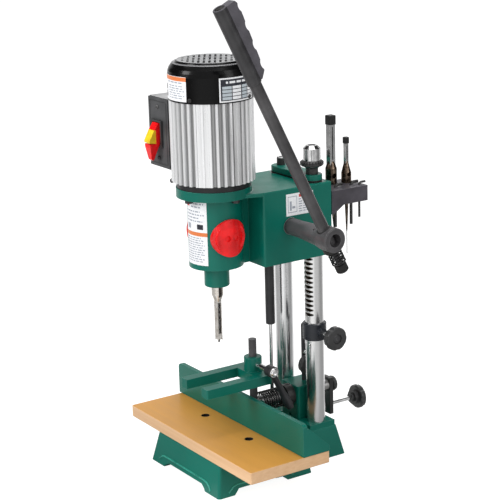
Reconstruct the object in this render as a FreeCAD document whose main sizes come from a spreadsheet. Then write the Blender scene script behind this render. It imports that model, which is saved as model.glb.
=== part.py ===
"""Bench hollow chisel mortiser, as separate pieces in one frame.

Millimetres.  +Z is up, -Y is the front (the operator's side), +X is the lever's side.
The origin is on the bench, under the spindle, at the centre of the four bench-bolt holes.
"""
import FreeCAD, Part
import math
import os
import Sketcher
from FreeCAD import Placement, Rotation, Vector

os.makedirs("parts", exist_ok=True)
doc = FreeCAD.newDocument("mortiser")

# ---------------------------------------------------------------- driving dimensions

DIMENSIONS = {
    # base casting
    "base_half_x": 105, "base_front": -75.6, "base_side_rear": 104, "base_rear": 198,
    "base_neck_half_x": 72, "base_height": 50.4, "base_taper": 11.5,
    "base_wall": 8, "pad_top": 60, "arch_rise": 9,
    "bench_bolt_x": 80, "bench_bolt_y": 52, "bench_hole_rad": 4.5, "lug_rad": 11,
    # wooden table
    "table_half_x": 183.75, "table_front": -65.5, "table_rear": 83.7, "table_top": 69.5,
    "table_bolt_x": 65.7, "table_bolt_y": 9.4, "table_bolt_head_rad": 6.4, "table_bolt_rad": 3,
    "table_sink_rad": 7.2,
    # columns, their tie plate and what stands on it
    "column_x": 43.5, "column_y": 158.4, "column_rad": 15.5, "column_foot": 12,
    "column_top": 469.7, "bump_thick": 2.3, "rack_pitch": 7.853982, "rack_depth": 5.6,
    "rack_teeth": 28, "rack_start": 248, "tie_half_x": 60, "tie_half_y": 16, "tie_thick": 9,
    "spare_rad": 14.2, "spare_neck_rad": 10, "spare_top": 527.4, "sleeve_rad": 19,
    # headstock
    "head_half_x": 66, "head_front": 48.6, "head_rear": 181, "head_bottom": 349,
    "head_top": 469, "web_half_x": 22, "housing_rad": 43.5, "housing_top": 463, "nose_rad": 20.2,
    "nose_bottom": 314.4, "flange_rad": 60, "flange_top": 478, "chamber_rad": 37,
    "chamber_floor": 357, "door_z": 401, "door_rad": 30, "window_rad": 28,
    "bush_rad": 18, "running_gap": 0.05,
    # pinion, hub and lever
    "pinion_y": 100, "pinion_z": 408, "pinion_module": 2.5, "pinion_teeth": 36,
    "gear_left": 33, "gear_width": 21, "shaft_rad": 10, "hub_end": 183.6,
    "hub_small_rad": 13.5, "hub_big_rad": 19.5, "hub_bore_rad": 10.5, "lever_x": 164,
    "lever_lean": 26.6, "lever_top": 409, "grip_length": 125, "grip_rad": 11, "lever_rad": 9.4,
    "lever_tail": 63, "lever_bore_rad": 9.45, "seat_rad": 15.5, "seat_low": 21.4,
    "tail_nut_rad": 10, "lever_spring_rad": 11.6,
    # motor
    "motor_rad": 66, "shield_rad": 58.7, "shield_top": 492, "shell_bottom": 488,
    "shell_top": 617, "fin_count": 36, "fin_depth": 4.8, "cover_rad": 66.6,
    "cover_top": 679, "grille_rad": 52, "rotor_shaft_rad": 8, "rotor_rad": 30.5,
    # switch
    "switch_left": -148, "switch_right": -86, "switch_face": -28, "switch_back": 26,
    "switch_bottom": 491, "switch_top": 605, "switch_screw_x": -118.6,
    "switch_screw_low": 506.2, "switch_screw_high": 589.5, "paddle_x": -118.8,
    "paddle_half_x": 9.2,
    # chisel and bit
    "shank_rad": 9.5, "shank_bottom": 299, "chisel_half": 4.3, "chisel_tip": 221,
    "chisel_bore_rad": 3.3, "bit_rad": 2.9,
    # fence and hold-down
    "fence_face": 33.5, "fence_thick": 8, "fence_top": 123.3, "fence_bottom": 70,
    "fence_left": -189, "fence_right": 184,
    "flange_thick": 7, "bar_z": 98, "bar_rad": 10, "post_y": 64,
    "post_rad": 6.6, "post_top": 210.6, "fork_bottom": 141.7, "fork_thick": 15.6,
    "fork_outer_x": 40, "fork_inner_x": 22.5, "fork_tip_y": -50, "fork_boss_rad": 14.8,
    "fork_boss_top": 181, "clamp_z": 169, "spring_front": 74, "spring_rear": 122,
    "spring_rad": 17, "spring_washer_rad": 19, "block_half_x": 25, "block_front": 136,
    "block_rear": 190, "block_top": 117, "guide_z": 62, "guide_rad": 3.5, "rear_plate_front": 211.4,
    "rear_plate_rear": 219.4, "rear_plate_low": 46.8, "rear_plate_top": 112,
    "rear_plate_half_x": 10.8,
    # strap between the columns
    "strap_front": 163.2, "strap_rear": 177.2, "strap_top": 218, "strap_half_x": 2.5,
    "strap_knob_y": 167, "strap_knob_z": 146.6, "strap_knob_rad": 16.5,
    # gas strut and depth stop
    "strut_x": -22, "strut_y": 115.5, "strut_rad": 7.8, "strut_bottom": 221,
    "strut_top": 358, "strut_rod_rad": 3, "collar_rad": 19.7, "collar_bottom": 204,
    "collar_top": 232, "collar_screw_z": 218,
    # tool holder
    "holder_left": 2, "holder_rear": 253, "holder_top": 452, "holder_sheet": 3,
    "big_tool_x": 19.7, "big_tool_y": 213.7, "small_tool_x": 27, "small_tool_y": 239,
}

sheet = doc.addObject("Spreadsheet::Sheet", "dims")
for row, (alias, value) in enumerate(DIMENSIONS.items(), start=1):
    sheet.set("A%d" % row, alias)
    sheet.set("B%d" % row, str(value))
    sheet.setAlias("B%d" % row, alias)
doc.recompute()


class Size:
    """A number that remembers the sheet formula it comes from."""

    def __init__(self, number, formula):
        self.number = number
        self.formula = formula

    def __add__(self, other):
        return Size(self.number + number_of(other), "(%s + %s)" % (self.formula, text_of(other)))

    def __radd__(self, other):
        return Size(number_of(other) + self.number, "(%s + %s)" % (text_of(other), self.formula))

    def __sub__(self, other):
        return Size(self.number - number_of(other), "(%s - %s)" % (self.formula, text_of(other)))

    def __rsub__(self, other):
        return Size(number_of(other) - self.number, "(%s - %s)" % (text_of(other), self.formula))

    def __mul__(self, other):
        return Size(self.number * number_of(other), "(%s * %s)" % (self.formula, text_of(other)))

    def __rmul__(self, other):
        return Size(number_of(other) * self.number, "(%s * %s)" % (text_of(other), self.formula))

    def __truediv__(self, other):
        return Size(self.number / number_of(other), "(%s / %s)" % (self.formula, text_of(other)))

    def __neg__(self):
        return Size(-self.number, "(0 - %s)" % self.formula)


def number_of(value):
    return value.number if isinstance(value, Size) else float(value)


def text_of(value):
    return value.formula if isinstance(value, Size) else "(%.6f)" % value


class Dimensions:
    """d.table_top is the sheet's cell of that name, as a Size."""

    def __getattr__(self, alias):
        return Size(DIMENSIONS[alias], "dims." + alias)


d = Dimensions()

# ---------------------------------------------------------------- building helpers

UPRIGHT = Rotation()
ALONG = {
    "Z": UPRIGHT,
    "X": Rotation(Vector(0, 1, 0), 90),
    "Y": Rotation(Vector(1, 0, 0), -90),
    "-X": Rotation(Vector(0, 1, 0), -90),
    "-Z": Rotation(Vector(1, 0, 0), 180),
}


def bind(thing, name, value):
    """Set a property, through the sheet wherever the value comes from there."""
    if isinstance(value, Size):
        thing.setExpression(name, value.formula)
    else:
        setattr(thing, name, value)


def place(thing, at=(0, 0, 0), turn=UPRIGHT):
    """Put an object at a point, with each coordinate that has a formula bound to it."""
    thing.Placement = Placement(Vector(*[number_of(c) for c in at]), turn)
    for axis, coordinate in zip("xyz", at):
        if isinstance(coordinate, Size):
            thing.setExpression("Placement.Base." + axis, coordinate.formula)
    return thing


def box(name, low, high):
    """A rectangular block between two corners."""
    block = doc.addObject("Part::Box", name)
    for side, (start, end) in zip(("Length", "Width", "Height"), zip(low, high)):
        bind(block, side, end - start)
    return place(block, low)


def rod(name, at, along, radius, length):
    """A round bar that starts at a point and runs along an axis."""
    bar = doc.addObject("Part::Cylinder", name)
    bind(bar, "Radius", radius)
    bind(bar, "Height", length)
    return place(bar, at, ALONG[along])


def taper(name, at, along, start_radius, end_radius, length):
    """A round bar whose radius changes evenly from its start to its end."""
    bar = doc.addObject("Part::Cone", name)
    bind(bar, "Radius1", start_radius)
    bind(bar, "Radius2", end_radius)
    bind(bar, "Height", length)
    return place(bar, at, ALONG[along])


def fuse(name, shapes):
    joined = doc.addObject("Part::MultiFuse", name)
    joined.Shapes = shapes
    joined.Refine = True
    return joined


def group(name, shapes):
    """Several separate solids, such as a set of screws, in one sub-part."""
    together = doc.addObject("Part::Compound", name)
    together.Links = shapes
    return together


def cut(name, base, tools):
    """Take one or more shapes away from a base."""
    less = doc.addObject("Part::Cut", name)
    less.Base = base
    less.Tool = tools[0] if len(tools) == 1 else fuse(name + "_tools", tools)
    less.Refine = True
    return less


def common(name, first, second):
    shared = doc.addObject("Part::Common", name)
    shared.Base = first
    shared.Tool = second
    return shared


class Piece:
    """A PartDesign body and the sketches and features that make it."""

    def __init__(self, name):
        self.body = doc.addObject("PartDesign::Body", name)
        self.name = name

    def origin(self, role):
        return next(f for f in self.body.Origin.OriginFeatures if f.Role == role)

    def sketch(self, role, shift=0):
        """A sketch on one of the body's own planes, moved along the plane's normal."""
        drawing = self.body.newObject("Sketcher::SketchObject", "Outline")
        drawing.AttachmentSupport = [(self.origin(role), "")]
        drawing.MapMode = "FlatFace"
        drawing.AttachmentOffset = Placement(Vector(0, 0, number_of(shift)), UPRIGHT)
        if isinstance(shift, Size):
            drawing.setExpression("AttachmentOffset.Base.z", shift.formula)
        return drawing

    def feature(self, kind, drawing, length=None, back=False):
        made = self.body.newObject("PartDesign::" + kind, kind)
        made.Profile = drawing
        if length is not None:
            bind(made, "Length", length)
            made.Reversed = back
        drawing.Visibility = False
        self.body.Tip = made
        return made

    def pad(self, drawing, length, back=False):
        return self.feature("Pad", drawing, length, back)

    def pocket(self, drawing, length, back=False):
        return self.feature("Pocket", drawing, length, back)

    def revolve(self, drawing, kind="Revolution"):
        """Turn a half profile about the vertical axis of its sketch."""
        made = self.feature(kind, drawing)
        made.ReferenceAxis = (drawing, ["V_Axis"])
        made.Angle = 360
        return made

    def around(self, feature, count, axis="Z_Axis"):
        """Repeat a feature evenly about one of the body's axes."""
        pattern = self.body.newObject("PartDesign::PolarPattern", "Around")
        pattern.Originals = [feature]
        pattern.Axis = (self.origin(axis), [""])
        pattern.Angle = 360
        bind(pattern, "Occurrences", count)
        self.body.Tip = pattern
        return pattern

    def in_row(self, feature, axis, length, count):
        """Repeat a feature in a straight row along one of the body's axes."""
        pattern = self.body.newObject("PartDesign::LinearPattern", "Row")
        pattern.Originals = [feature]
        pattern.Direction = (self.origin(axis), [""])
        bind(pattern, "Length", length)
        bind(pattern, "Occurrences", count)
        self.body.Tip = pattern
        return pattern

    def dress(self, kind, radius, wanted):
        """Fillet or chamfer the edges that a test picks."""
        doc.recompute()
        base = self.body.Tip
        names = ["Edge%d" % (i + 1) for i, edge in enumerate(base.Shape.Edges) if wanted(edge)]
        made = self.body.newObject("PartDesign::" + kind, kind)
        made.Base = (base, names)
        bind(made, "Radius" if kind == "Fillet" else "Size", radius)
        self.body.Tip = made
        return made

    def done(self, at=(0, 0, 0), turn=UPRIGHT):
        return place(self.body, at, turn)


def fix_coordinate(drawing, kind, edge, end, value):
    """Tie one coordinate of a sketch's point to the sheet."""
    rule = Sketcher.Constraint(kind, -1, 1, edge, end, number_of(value))
    index = drawing.addConstraint(rule)
    if isinstance(value, Size):
        drawing.setExpression("Constraints[%d]" % index, value.formula)


def fix_point(drawing, edge, end, x, y):
    fix_coordinate(drawing, "DistanceX", edge, end, x)
    fix_coordinate(drawing, "DistanceY", edge, end, y)


def polygon(drawing, corners):
    """A closed outline of straight edges."""
    first = drawing.GeometryCount
    count = len(corners)
    spots = [Vector(number_of(x), number_of(y), 0) for x, y in corners]
    for i in range(count):
        drawing.addGeometry(Part.LineSegment(spots[i], spots[(i + 1) % count]), False)
    for i in range(count):
        rule = Sketcher.Constraint("Coincident", first + i, 2, first + (i + 1) % count, 1)
        drawing.addConstraint(rule)
    for i, (x, y) in enumerate(corners):
        fix_point(drawing, first + i, 1, x, y)
    return drawing


def rectangle(drawing, low, high):
    return polygon(drawing, [low, (high[0], low[1]), high, (low[0], high[1])])


def circle(drawing, x, y, radius):
    centre = Vector(number_of(x), number_of(y), 0)
    ring = Part.Circle(centre, Vector(0, 0, 1), number_of(radius))
    index = drawing.addGeometry(ring, False)
    fix_point(drawing, index, 3, x, y)
    rule = Sketcher.Constraint("Radius", index, number_of(radius))
    constraint = drawing.addConstraint(rule)
    if isinstance(radius, Size):
        drawing.setExpression("Constraints[%d]" % constraint, radius.formula)
    return drawing


def turned(name, profile, at=(0, 0, 0), along="Z"):
    """A lathe-turned piece: (radius, height) corners, revolved about its axis."""
    piece = Piece(name)
    piece.revolve(polygon(piece.sketch("XZ_Plane"), profile))
    return piece.done(at, ALONG[along])


def ring(name, at, along, inner, outer, length):
    """A plain tube or washer."""
    corners = [(inner, 0), (outer, 0), (outer, length), (inner, length)]
    return turned(name, corners, at, along)


def mirrored_x(corners):
    """Close the right half of an outline with its mirror image."""
    return corners + [(-x, y) for x, y in reversed(corners)]


def upright_edge(edge, low, high):
    """Whether an edge climbs all the way from one height to another."""
    limits = edge.BoundBox
    return abs(limits.ZMin - number_of(low)) < 0.01 and abs(limits.ZMax - number_of(high)) < 0.01


def level_edge(edge, height):
    limits = edge.BoundBox
    return abs(limits.ZMin - number_of(height)) < 0.01 and limits.ZLength < 0.01


def hexagon(drawing, corner_radius):
    corners = [(corner_radius * math.cos(math.radians(60 * k)),
                corner_radius * math.sin(math.radians(60 * k))) for k in range(6)]
    return polygon(drawing, corners)


def lobed_knob(name, at, along, radius, thickness, bore=None, lobes=7):
    """A moulded hand knob: a rounded disc with scallops around its rim, dished outside."""
    piece = Piece(name)
    piece.pad(circle(piece.sketch("XY_Plane"), 0, 0, radius), thickness)
    piece.dress("Fillet", 3, lambda edge: True)
    scallop = circle(piece.sketch("XY_Plane", thickness + 1), radius * 1.2, 0, radius * 0.3)
    piece.around(piece.pocket(scallop, thickness + 2), lobes)
    piece.pocket(circle(piece.sketch("XY_Plane", thickness), 0, 0, radius * 0.42), 2)
    if bore is not None:
        piece.pocket(circle(piece.sketch("XY_Plane", thickness), 0, 0, bore), thickness)
    return piece.done(at, ALONG[along])


def hex_bolt(name, at, along, head_rad, head_height, shank_rad, shank_length):
    """A hexagon head at the start point, with its shank running on along the axis."""
    piece = Piece(name)
    piece.pad(hexagon(piece.sketch("XY_Plane"), head_rad), head_height)
    shank = circle(piece.sketch("XY_Plane"), 0, 0, shank_rad)
    piece.pad(shank, head_height + shank_length)
    return piece.done(at, ALONG[along])


NODES = []


def sub_part(label, thing):
    """Register a finished sub-part under the name of its file."""
    thing.Label = label
    NODES.append(thing)
    return thing


# ---------------------------------------------------------------- base and table

def base_outline(drawing, side, front, side_rear, neck, rear):
    """Wide front feet, then a narrower stretch that carries the columns."""
    right = [(side, front), (side, side_rear), (neck, side_rear + 12), (neck, rear)]
    return polygon(drawing, mirrored_x(right))


def is_base_corner(edge):
    """The outward corners of the base: all but the two where it narrows."""
    limits = edge.BoundBox
    outward = max(abs(limits.XMin), abs(limits.XMax)) > 75 or limits.YMax > 150
    return upright_edge(edge, 0, d.base_height) and outward


def make_base():
    piece = Piece("base")
    outline = base_outline(piece.sketch("XY_Plane"), d.base_half_x, d.base_front,
                           d.base_side_rear, d.base_neck_half_x, d.base_rear)
    casting = piece.pad(outline, d.base_height)
    bind(casting, "TaperAngle", -d.base_taper)
    piece.dress("Fillet", 5, is_base_corner)
    piece.dress("Fillet", 2, lambda edge: level_edge(edge, d.base_height))
    pads = piece.sketch("XY_Plane", d.base_height - 2)
    for side in (-1, 1):
        corners = [(26 * side, 134), (26 * side, 184), (61 * side, 184), (61 * side, 134)]
        polygon(pads, corners)
    piece.pad(pads, d.pad_top - d.base_height + 2)
    hollow = piece.sketch("XY_Plane")
    base_outline(hollow, d.base_half_x - 15.5, d.base_front + 19.6, d.base_side_rear - 10,
                 d.base_neck_half_x - 14, 130)
    piece.pocket(hollow, d.base_height - d.base_wall, back=True)
    lugs = piece.sketch("XY_Plane")
    for x in (-d.bench_bolt_x, d.bench_bolt_x):
        for y in (-d.bench_bolt_y, d.bench_bolt_y):
            circle(lugs, x, y, d.lug_rad)
    piece.pad(lugs, d.base_height - 4)
    holes = piece.sketch("XY_Plane")
    for x in (-d.bench_bolt_x, d.bench_bolt_x):
        for y in (-d.bench_bolt_y, d.bench_bolt_y):
            circle(holes, x, y, d.bench_hole_rad)
    piece.pocket(holes, d.base_height + 1, back=True)
    sockets = piece.sketch("XY_Plane", d.pad_top)
    for x in (-d.column_x, d.column_x):
        circle(sockets, x, d.column_y, d.column_rad)
    piece.pocket(sockets, d.pad_top - d.column_foot)
    front_arch = piece.sketch("XZ_Plane", 4 - d.base_front)
    polygon(front_arch, mirrored_x([(64, -1), (60, 4), (51, d.arch_rise)]))
    piece.pocket(front_arch, 26)
    for shift, reach in ((d.base_half_x + 1, 17), (-d.base_half_x + 16, 17)):
        side_arch = piece.sketch("YZ_Plane", shift)
        polygon(side_arch, [(-46, -1), (58, -1), (48, d.arch_rise), (-36, d.arch_rise)])
        piece.pocket(side_arch, reach)
    bolt_taps = piece.sketch("XY_Plane", d.base_height)
    for x in (-d.table_bolt_x, d.table_bolt_x):
        circle(bolt_taps, x, d.table_bolt_y, d.table_bolt_rad)
    piece.pocket(bolt_taps, d.base_wall)
    return piece.done()


def countersunk_screw(name, x, grow):
    """A table screw; grow widens it into the hole that it sits in."""
    head = d.table_bolt_head_rad + grow
    shank = d.table_bolt_rad + grow
    top = d.table_top - 3.4
    profile = [(0, 44), (shank, 44), (shank, top - 4), (head, top - 1), (head, top), (0, top)]
    return turned(name, profile, (x, d.table_bolt_y, 0))


def make_table():
    piece = Piece("board")
    outline = piece.sketch("XY_Plane", d.base_height)
    rectangle(outline, (-d.table_half_x, d.table_front), (d.table_half_x, d.table_rear))
    piece.pad(outline, d.table_top - d.base_height)
    piece.dress("Fillet", 3, lambda edge: upright_edge(edge, d.base_height, d.table_top))
    piece.dress("Fillet", 0.8, lambda edge: level_edge(edge, d.table_top))
    holes = []
    for side in (-1, 1):
        x = d.table_bolt_x * side
        holes.append(countersunk_screw("screw_hole", x, 0.25))
        holes.append(rod("head_recess", (x, d.table_bolt_y, d.table_top - 4.4), "Z",
                         d.table_sink_rad, 6))
    return cut("table", piece.done(), holes)


def table_screws():
    screws = []
    for side in (-1, 1):
        x = d.table_bolt_x * side
        screw = countersunk_screw("screw", x, 0)
        socket = rod("socket", (x, d.table_bolt_y, d.table_top - 6.4), "Z", 2.6, 4)
        screws.append(cut("screw_cut", screw, [socket]))
    return screws


sub_part("base_casting", make_base())
sub_part("table_board", make_table())

# ---------------------------------------------------------------- columns and tie plate


TIE_TOP = d.column_top + d.bump_thick + d.tie_thick


def make_rack_column():
    """The right column has rack teeth cut across its front."""
    piece = Piece("rack")
    height = d.column_top - d.column_foot
    piece.pad(circle(piece.sketch("XY_Plane"), 0, 0, d.column_rad), height)
    piece.dress("Chamfer", 1, lambda edge: level_edge(edge, height))
    pitch = d.rack_pitch
    tooth_root = -(d.column_rad - d.rack_depth)
    start = d.rack_start - d.column_foot
    mouth = pitch * 0.37
    floor = pitch * 0.17
    gap = piece.sketch("YZ_Plane", 20)
    polygon(gap, [(-d.column_rad - 2, start - mouth - 0.6), (tooth_root, start - floor),
                  (tooth_root, start + floor), (-d.column_rad - 2, start + mouth + 0.6)])
    notch = piece.pocket(gap, 40)
    piece.in_row(notch, "Z_Axis", pitch * (d.rack_teeth - 1), d.rack_teeth)
    return piece.done((d.column_x, d.column_y, d.column_foot))


def make_left_column():
    height = d.column_top - d.column_foot
    profile = [(0, 0), (d.column_rad, 0), (d.column_rad, height - 1),
               (d.column_rad - 1, height), (0, height)]
    return turned("column", profile, (-d.column_x, d.column_y, d.column_foot))


def slotted_outline(drawing, half_x, half_y):
    """A long plate with fully rounded ends."""
    reach = half_x - half_y
    ends = (number_of(reach), number_of(half_y))
    top = drawing.addGeometry(Part.LineSegment(Vector(-ends[0], ends[1]),
                                               Vector(ends[0], ends[1])), False)
    right = drawing.addGeometry(Part.ArcOfCircle(
        Part.Circle(Vector(ends[0], 0), Vector(0, 0, 1), ends[1]),
        -math.pi / 2, math.pi / 2), False)
    bottom = drawing.addGeometry(Part.LineSegment(Vector(ends[0], -ends[1]),
                                                  Vector(-ends[0], -ends[1])), False)
    left = drawing.addGeometry(Part.ArcOfCircle(
        Part.Circle(Vector(-ends[0], 0), Vector(0, 0, 1), ends[1]),
        math.pi / 2, 3 * math.pi / 2), False)
    joints = ((top, 2, right, 2), (right, 1, bottom, 1), (bottom, 2, left, 2), (left, 1, top, 1))
    for first, first_end, second, second_end in joints:
        drawing.addConstraint(Sketcher.Constraint("Coincident", first, first_end,
                                                  second, second_end))
    fix_point(drawing, top, 1, -reach, half_y)
    fix_point(drawing, top, 2, reach, half_y)
    fix_point(drawing, bottom, 1, reach, -half_y)
    fix_point(drawing, bottom, 2, -reach, -half_y)
    fix_coordinate(drawing, "DistanceX", right, 3, reach)
    fix_coordinate(drawing, "DistanceX", left, 3, -reach)
    return drawing


def make_tie_plate():
    """The plate that ties the column tops."""
    piece = Piece("tie")
    outline = slotted_outline(piece.sketch("XY_Plane"), d.tie_half_x, d.tie_half_y)
    piece.pad(outline, d.tie_thick)
    piece.dress("Fillet", 1.5, lambda edge: level_edge(edge, d.tie_thick))
    holes = piece.sketch("XY_Plane", d.tie_thick)
    circle(holes, -d.column_x, 0, 4)
    circle(holes, d.column_x, 0, 4)
    piece.pocket(holes, d.tie_thick)
    return piece.done((0, d.column_y, d.column_top + d.bump_thick))


def make_bump_pad():
    """The rubber stop under the tie plate, which the head comes up against."""
    piece = Piece("bump")
    outline = slotted_outline(piece.sketch("XY_Plane"), d.tie_half_x, d.tie_half_y)
    piece.pad(outline, d.bump_thick)
    holes = piece.sketch("XY_Plane", d.bump_thick)
    circle(holes, -d.column_x, 0, 4)
    circle(holes, d.column_x, 0, 4)
    piece.pocket(holes, d.bump_thick)
    return piece.done((0, d.column_y, d.column_top))


def tie_bolts():
    """Screws down into the column tops; the spare chuck stands over the right one."""
    left = turned("left_bolt", [(0, 0), (7, 0), (7, 12), (6, 13.6), (3, 13.6), (3, 8), (0, 8)],
                  (-d.column_x, d.column_y, TIE_TOP))
    right = turned("right_bolt", [(0, 0), (7, 0), (7, 4), (0, 4)],
                   (d.column_x, d.column_y, TIE_TOP))
    return [left, right]


def make_spare_chuck():
    """A drill chuck stored nose up; its hollow neck sits over the right tie screw."""
    neck = d.spare_neck_rad
    top = d.spare_top - TIE_TOP
    profile = [(7.3, 0), (neck, 0), (neck, 9), (d.spare_rad, 12.5), (d.spare_rad, top - 5),
               (9, top), (6, top), (3.2, top - 5), (3.2, 8), (7.3, 5)]
    return turned("spare_body", profile, (d.column_x, d.column_y, TIE_TOP))


def make_spare_sleeve():
    """The toothed key sleeve around the spare chuck."""
    piece = Piece("sleeve")
    inner = d.spare_rad + 0.1
    rim = d.sleeve_rad
    profile = [(inner, 0), (rim - 2, 0), (rim, 2), (rim, 6.5), (inner + 1, 9), (inner, 9)]
    piece.revolve(polygon(piece.sketch("XZ_Plane"), profile))
    tooth = piece.sketch("XY_Plane", 12)
    rectangle(tooth, (rim - 2.4, -0.9), (rim + 1, 0.9))
    piece.around(piece.pocket(tooth, 8), 24)
    return piece.done((d.column_x, d.column_y, TIE_TOP + 13.2))


sub_part("left_column", make_left_column())
sub_part("rack_column", make_rack_column())
sub_part("tie_plate", make_tie_plate())
sub_part("bump_pad", make_bump_pad())
sub_part("frame_bolts", group("frame_bolt_set", table_screws() + tie_bolts()))
sub_part("spare_chuck", make_spare_chuck())
sub_part("spare_chuck_sleeve", make_spare_sleeve())

# ---------------------------------------------------------------- headstock


def make_head_casting():
    piece = Piece("head")
    tall = d.head_top - d.head_bottom
    outline = piece.sketch("XY_Plane", d.head_bottom)
    rectangle(outline, (-d.head_half_x, d.head_front), (d.head_half_x, d.head_rear))
    piece.pad(outline, tall)
    piece.dress("Fillet", 3, lambda edge: upright_edge(edge, d.head_bottom, d.head_top))
    neck = piece.sketch("XY_Plane", d.head_bottom)
    polygon(neck, mirrored_x([(d.web_half_x, 20), (d.web_half_x, 56)]))
    piece.pad(neck, d.housing_top - d.head_bottom)
    roof = piece.sketch("XY_Plane", d.housing_top)
    polygon(roof, mirrored_x([(54, 18), (d.head_half_x - 1.5, 47), (d.head_half_x - 1.5, 56)]))
    piece.pad(roof, d.head_top - d.housing_top)
    piece.pad(circle(piece.sketch("XY_Plane", d.head_bottom), 0, 0, d.housing_rad),
              d.housing_top - d.head_bottom)
    piece.pad(circle(piece.sketch("XY_Plane", d.housing_top), 0, 0, d.flange_rad),
              d.flange_top - d.housing_top)
    piece.pad(circle(piece.sketch("XY_Plane", d.nose_bottom), 0, 0, d.nose_rad),
              d.head_bottom - d.nose_bottom)
    piece.dress("Fillet", 2, lambda edge: level_edge(edge, d.head_top)
                or level_edge(edge, d.nose_bottom))
    chamber = circle(piece.sketch("XY_Plane", d.flange_top), 0, 0, d.chamber_rad)
    piece.pocket(chamber, d.flange_top - d.chamber_floor)
    bore = circle(piece.sketch("XY_Plane", d.chamber_floor), 0, 0, d.shank_rad)
    piece.pocket(bore, d.chamber_floor - d.nose_bottom)
    for shift in (d.housing_rad + 6.5, -34):
        window = piece.sketch("YZ_Plane", shift)
        circle(window, 0, d.door_z, d.window_rad)
        piece.pocket(window, 16)
    bores = piece.sketch("XY_Plane", d.head_top)
    for x in (-d.column_x, d.column_x):
        circle(bores, x, d.column_y, d.bush_rad)
    piece.pocket(bores, tall)
    gear_room = circle(piece.sketch("YZ_Plane", -d.head_half_x), d.pinion_y, d.pinion_z, 48.3)
    piece.pocket(gear_room, d.head_half_x + 57, back=True)
    shaft_hole = circle(piece.sketch("YZ_Plane", d.head_half_x), d.pinion_y, d.pinion_z, 14)
    piece.pocket(shaft_hole, 12)
    strut_hole = circle(piece.sketch("XY_Plane", d.head_bottom), d.strut_x, d.strut_y,
                        d.strut_rad + 0.2)
    piece.pocket(strut_hole, d.strut_top - d.head_bottom, back=True)
    bolt_holes = piece.sketch("XY_Plane", d.flange_top)
    for angle in FLANGE_BOLT_ANGLES:
        circle(bolt_holes, *flange_bolt_place(angle), 3.2)
    piece.pocket(bolt_holes, d.flange_top - d.housing_top)
    return piece.done()


FLANGE_BOLT_ANGLES = (8, 98, -82)
FLANGE_BOLT_CIRCLE = 51.5


def flange_bolt_place(angle):
    """A point on the flange's bolt circle; the angle starts at the front, towards +X."""
    turn = math.radians(angle)
    return FLANGE_BOLT_CIRCLE * math.sin(turn), -FLANGE_BOLT_CIRCLE * math.cos(turn)


def flange_bolts():
    bolts = []
    for angle in FLANGE_BOLT_ANGLES:
        x, y = flange_bolt_place(angle)
        bolts.append(hex_bolt("flange_bolt", (x, y, d.housing_top - 5.5), "Z", 6.4, 5.5, 3, 14))
    return bolts


def make_bushes():
    """Four plain bushes guide the head on the columns; a fifth carries the hub's shaft."""
    bushes = []
    for x in (-d.column_x, d.column_x):
        for low, high in ((d.head_bottom, 377), (439, d.head_top)):
            bushes.append(ring("bush", (x, d.column_y, low), "Z", d.column_rad + d.running_gap,
                               d.bush_rad, high - low))
    bushes.append(ring("shaft_bush", (57, d.pinion_y, d.pinion_z), "X",
                       d.shaft_rad + d.running_gap, 14, d.head_half_x - 57))
    return group("bushes", bushes)


def make_gear_cover():
    """The cover of the gear room; its long boss carries the pinion shaft's inner end."""
    start = -d.head_half_x
    parts = [rod("cover_disc", (start - 4, d.pinion_y, d.pinion_z), "X", 46, 4),
             rod("cover_plug", (start, d.pinion_y, d.pinion_z), "X", 36, 4),
             taper("cover_boss", (start, d.pinion_y, d.pinion_z), "X", 24, 15,
                   d.head_half_x + 24)]
    for angle in (45, 135, 225, 315):
        turn = math.radians(angle)
        spot = (start - 6, d.pinion_y + 40 * math.cos(turn), d.pinion_z + 40 * math.sin(turn))
        parts.append(rod("cover_screw", spot, "X", 4, 3))
    bore = rod("cover_bore", (10, d.pinion_y, d.pinion_z), "X", d.shaft_rad + d.running_gap, 20)
    return cut("cover", fuse("cover_solid", parts), [bore])


def make_door(name, side):
    """A pull-off chuck door: a disc bent to the housing, with a pinch grip between two dents."""
    outward = "X" if side > 0 else "-X"
    wall = ring(name + "_wall", (0, 0, d.door_z - 31), "Z", d.housing_rad + 0.3,
                d.housing_rad + 5, 62)
    outline = rod(name + "_outline", (0, 0, d.door_z), outward, d.door_rad, 60)
    shell = common(name + "_shell", wall, outline)
    dents = [rod(name + "_dent", (side * (d.housing_rad + 1.6), y, d.door_z), outward, 5, 20)
             for y in (-7, 7)]
    dished = cut(name + "_dished", shell, dents)
    plug = ring(name + "_plug", (side * 37.4, 0, d.door_z), outward, 22, 26, 8)
    return fuse(name, [dished, plug])


sub_part("head_casting", make_head_casting())
sub_part("plain_bushes", make_bushes())
sub_part("gear_cover", make_gear_cover())
sub_part("right_chuck_door", make_door("right_door", 1))
sub_part("left_chuck_door", make_door("left_door", -1))

# ---------------------------------------------------------------- chisel, bit and spindle


def square_bar(name, half, low, high):
    return box(name, (-half, -half, low), (half, half, high))


def make_chisel():
    """A hollow square chisel: round shank, square body, a long slot for the chips."""
    tip = d.chisel_tip
    shank = rod("shank", (0, 0, d.shank_bottom), "Z", d.shank_rad, 345 - d.shank_bottom)
    shoulder = taper("shoulder", (0, 0, d.shank_bottom - 12), "Z", 5, d.shank_rad, 12)
    body = square_bar("chisel_body", d.chisel_half, tip, d.shank_bottom)
    whole = fuse("chisel_blank", [shank, shoulder, body])
    bore = rod("chisel_bore", (0, 0, tip - 1), "Z", d.chisel_bore_rad, 346 - tip)
    mouth = taper("chisel_mouth", (0, 0, tip - 1), "Z", 7.5, d.chisel_bore_rad, 5.5)
    slot = box("chip_slot", (0, -2.6, tip + 12), (12, 2.6, tip + 64))
    exit_slot = box("chip_exit", (0, -3, d.shank_bottom - 4), (12, 3, 312))
    return cut("chisel_shape", whole, [bore, mouth, slot, exit_slot])


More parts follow.
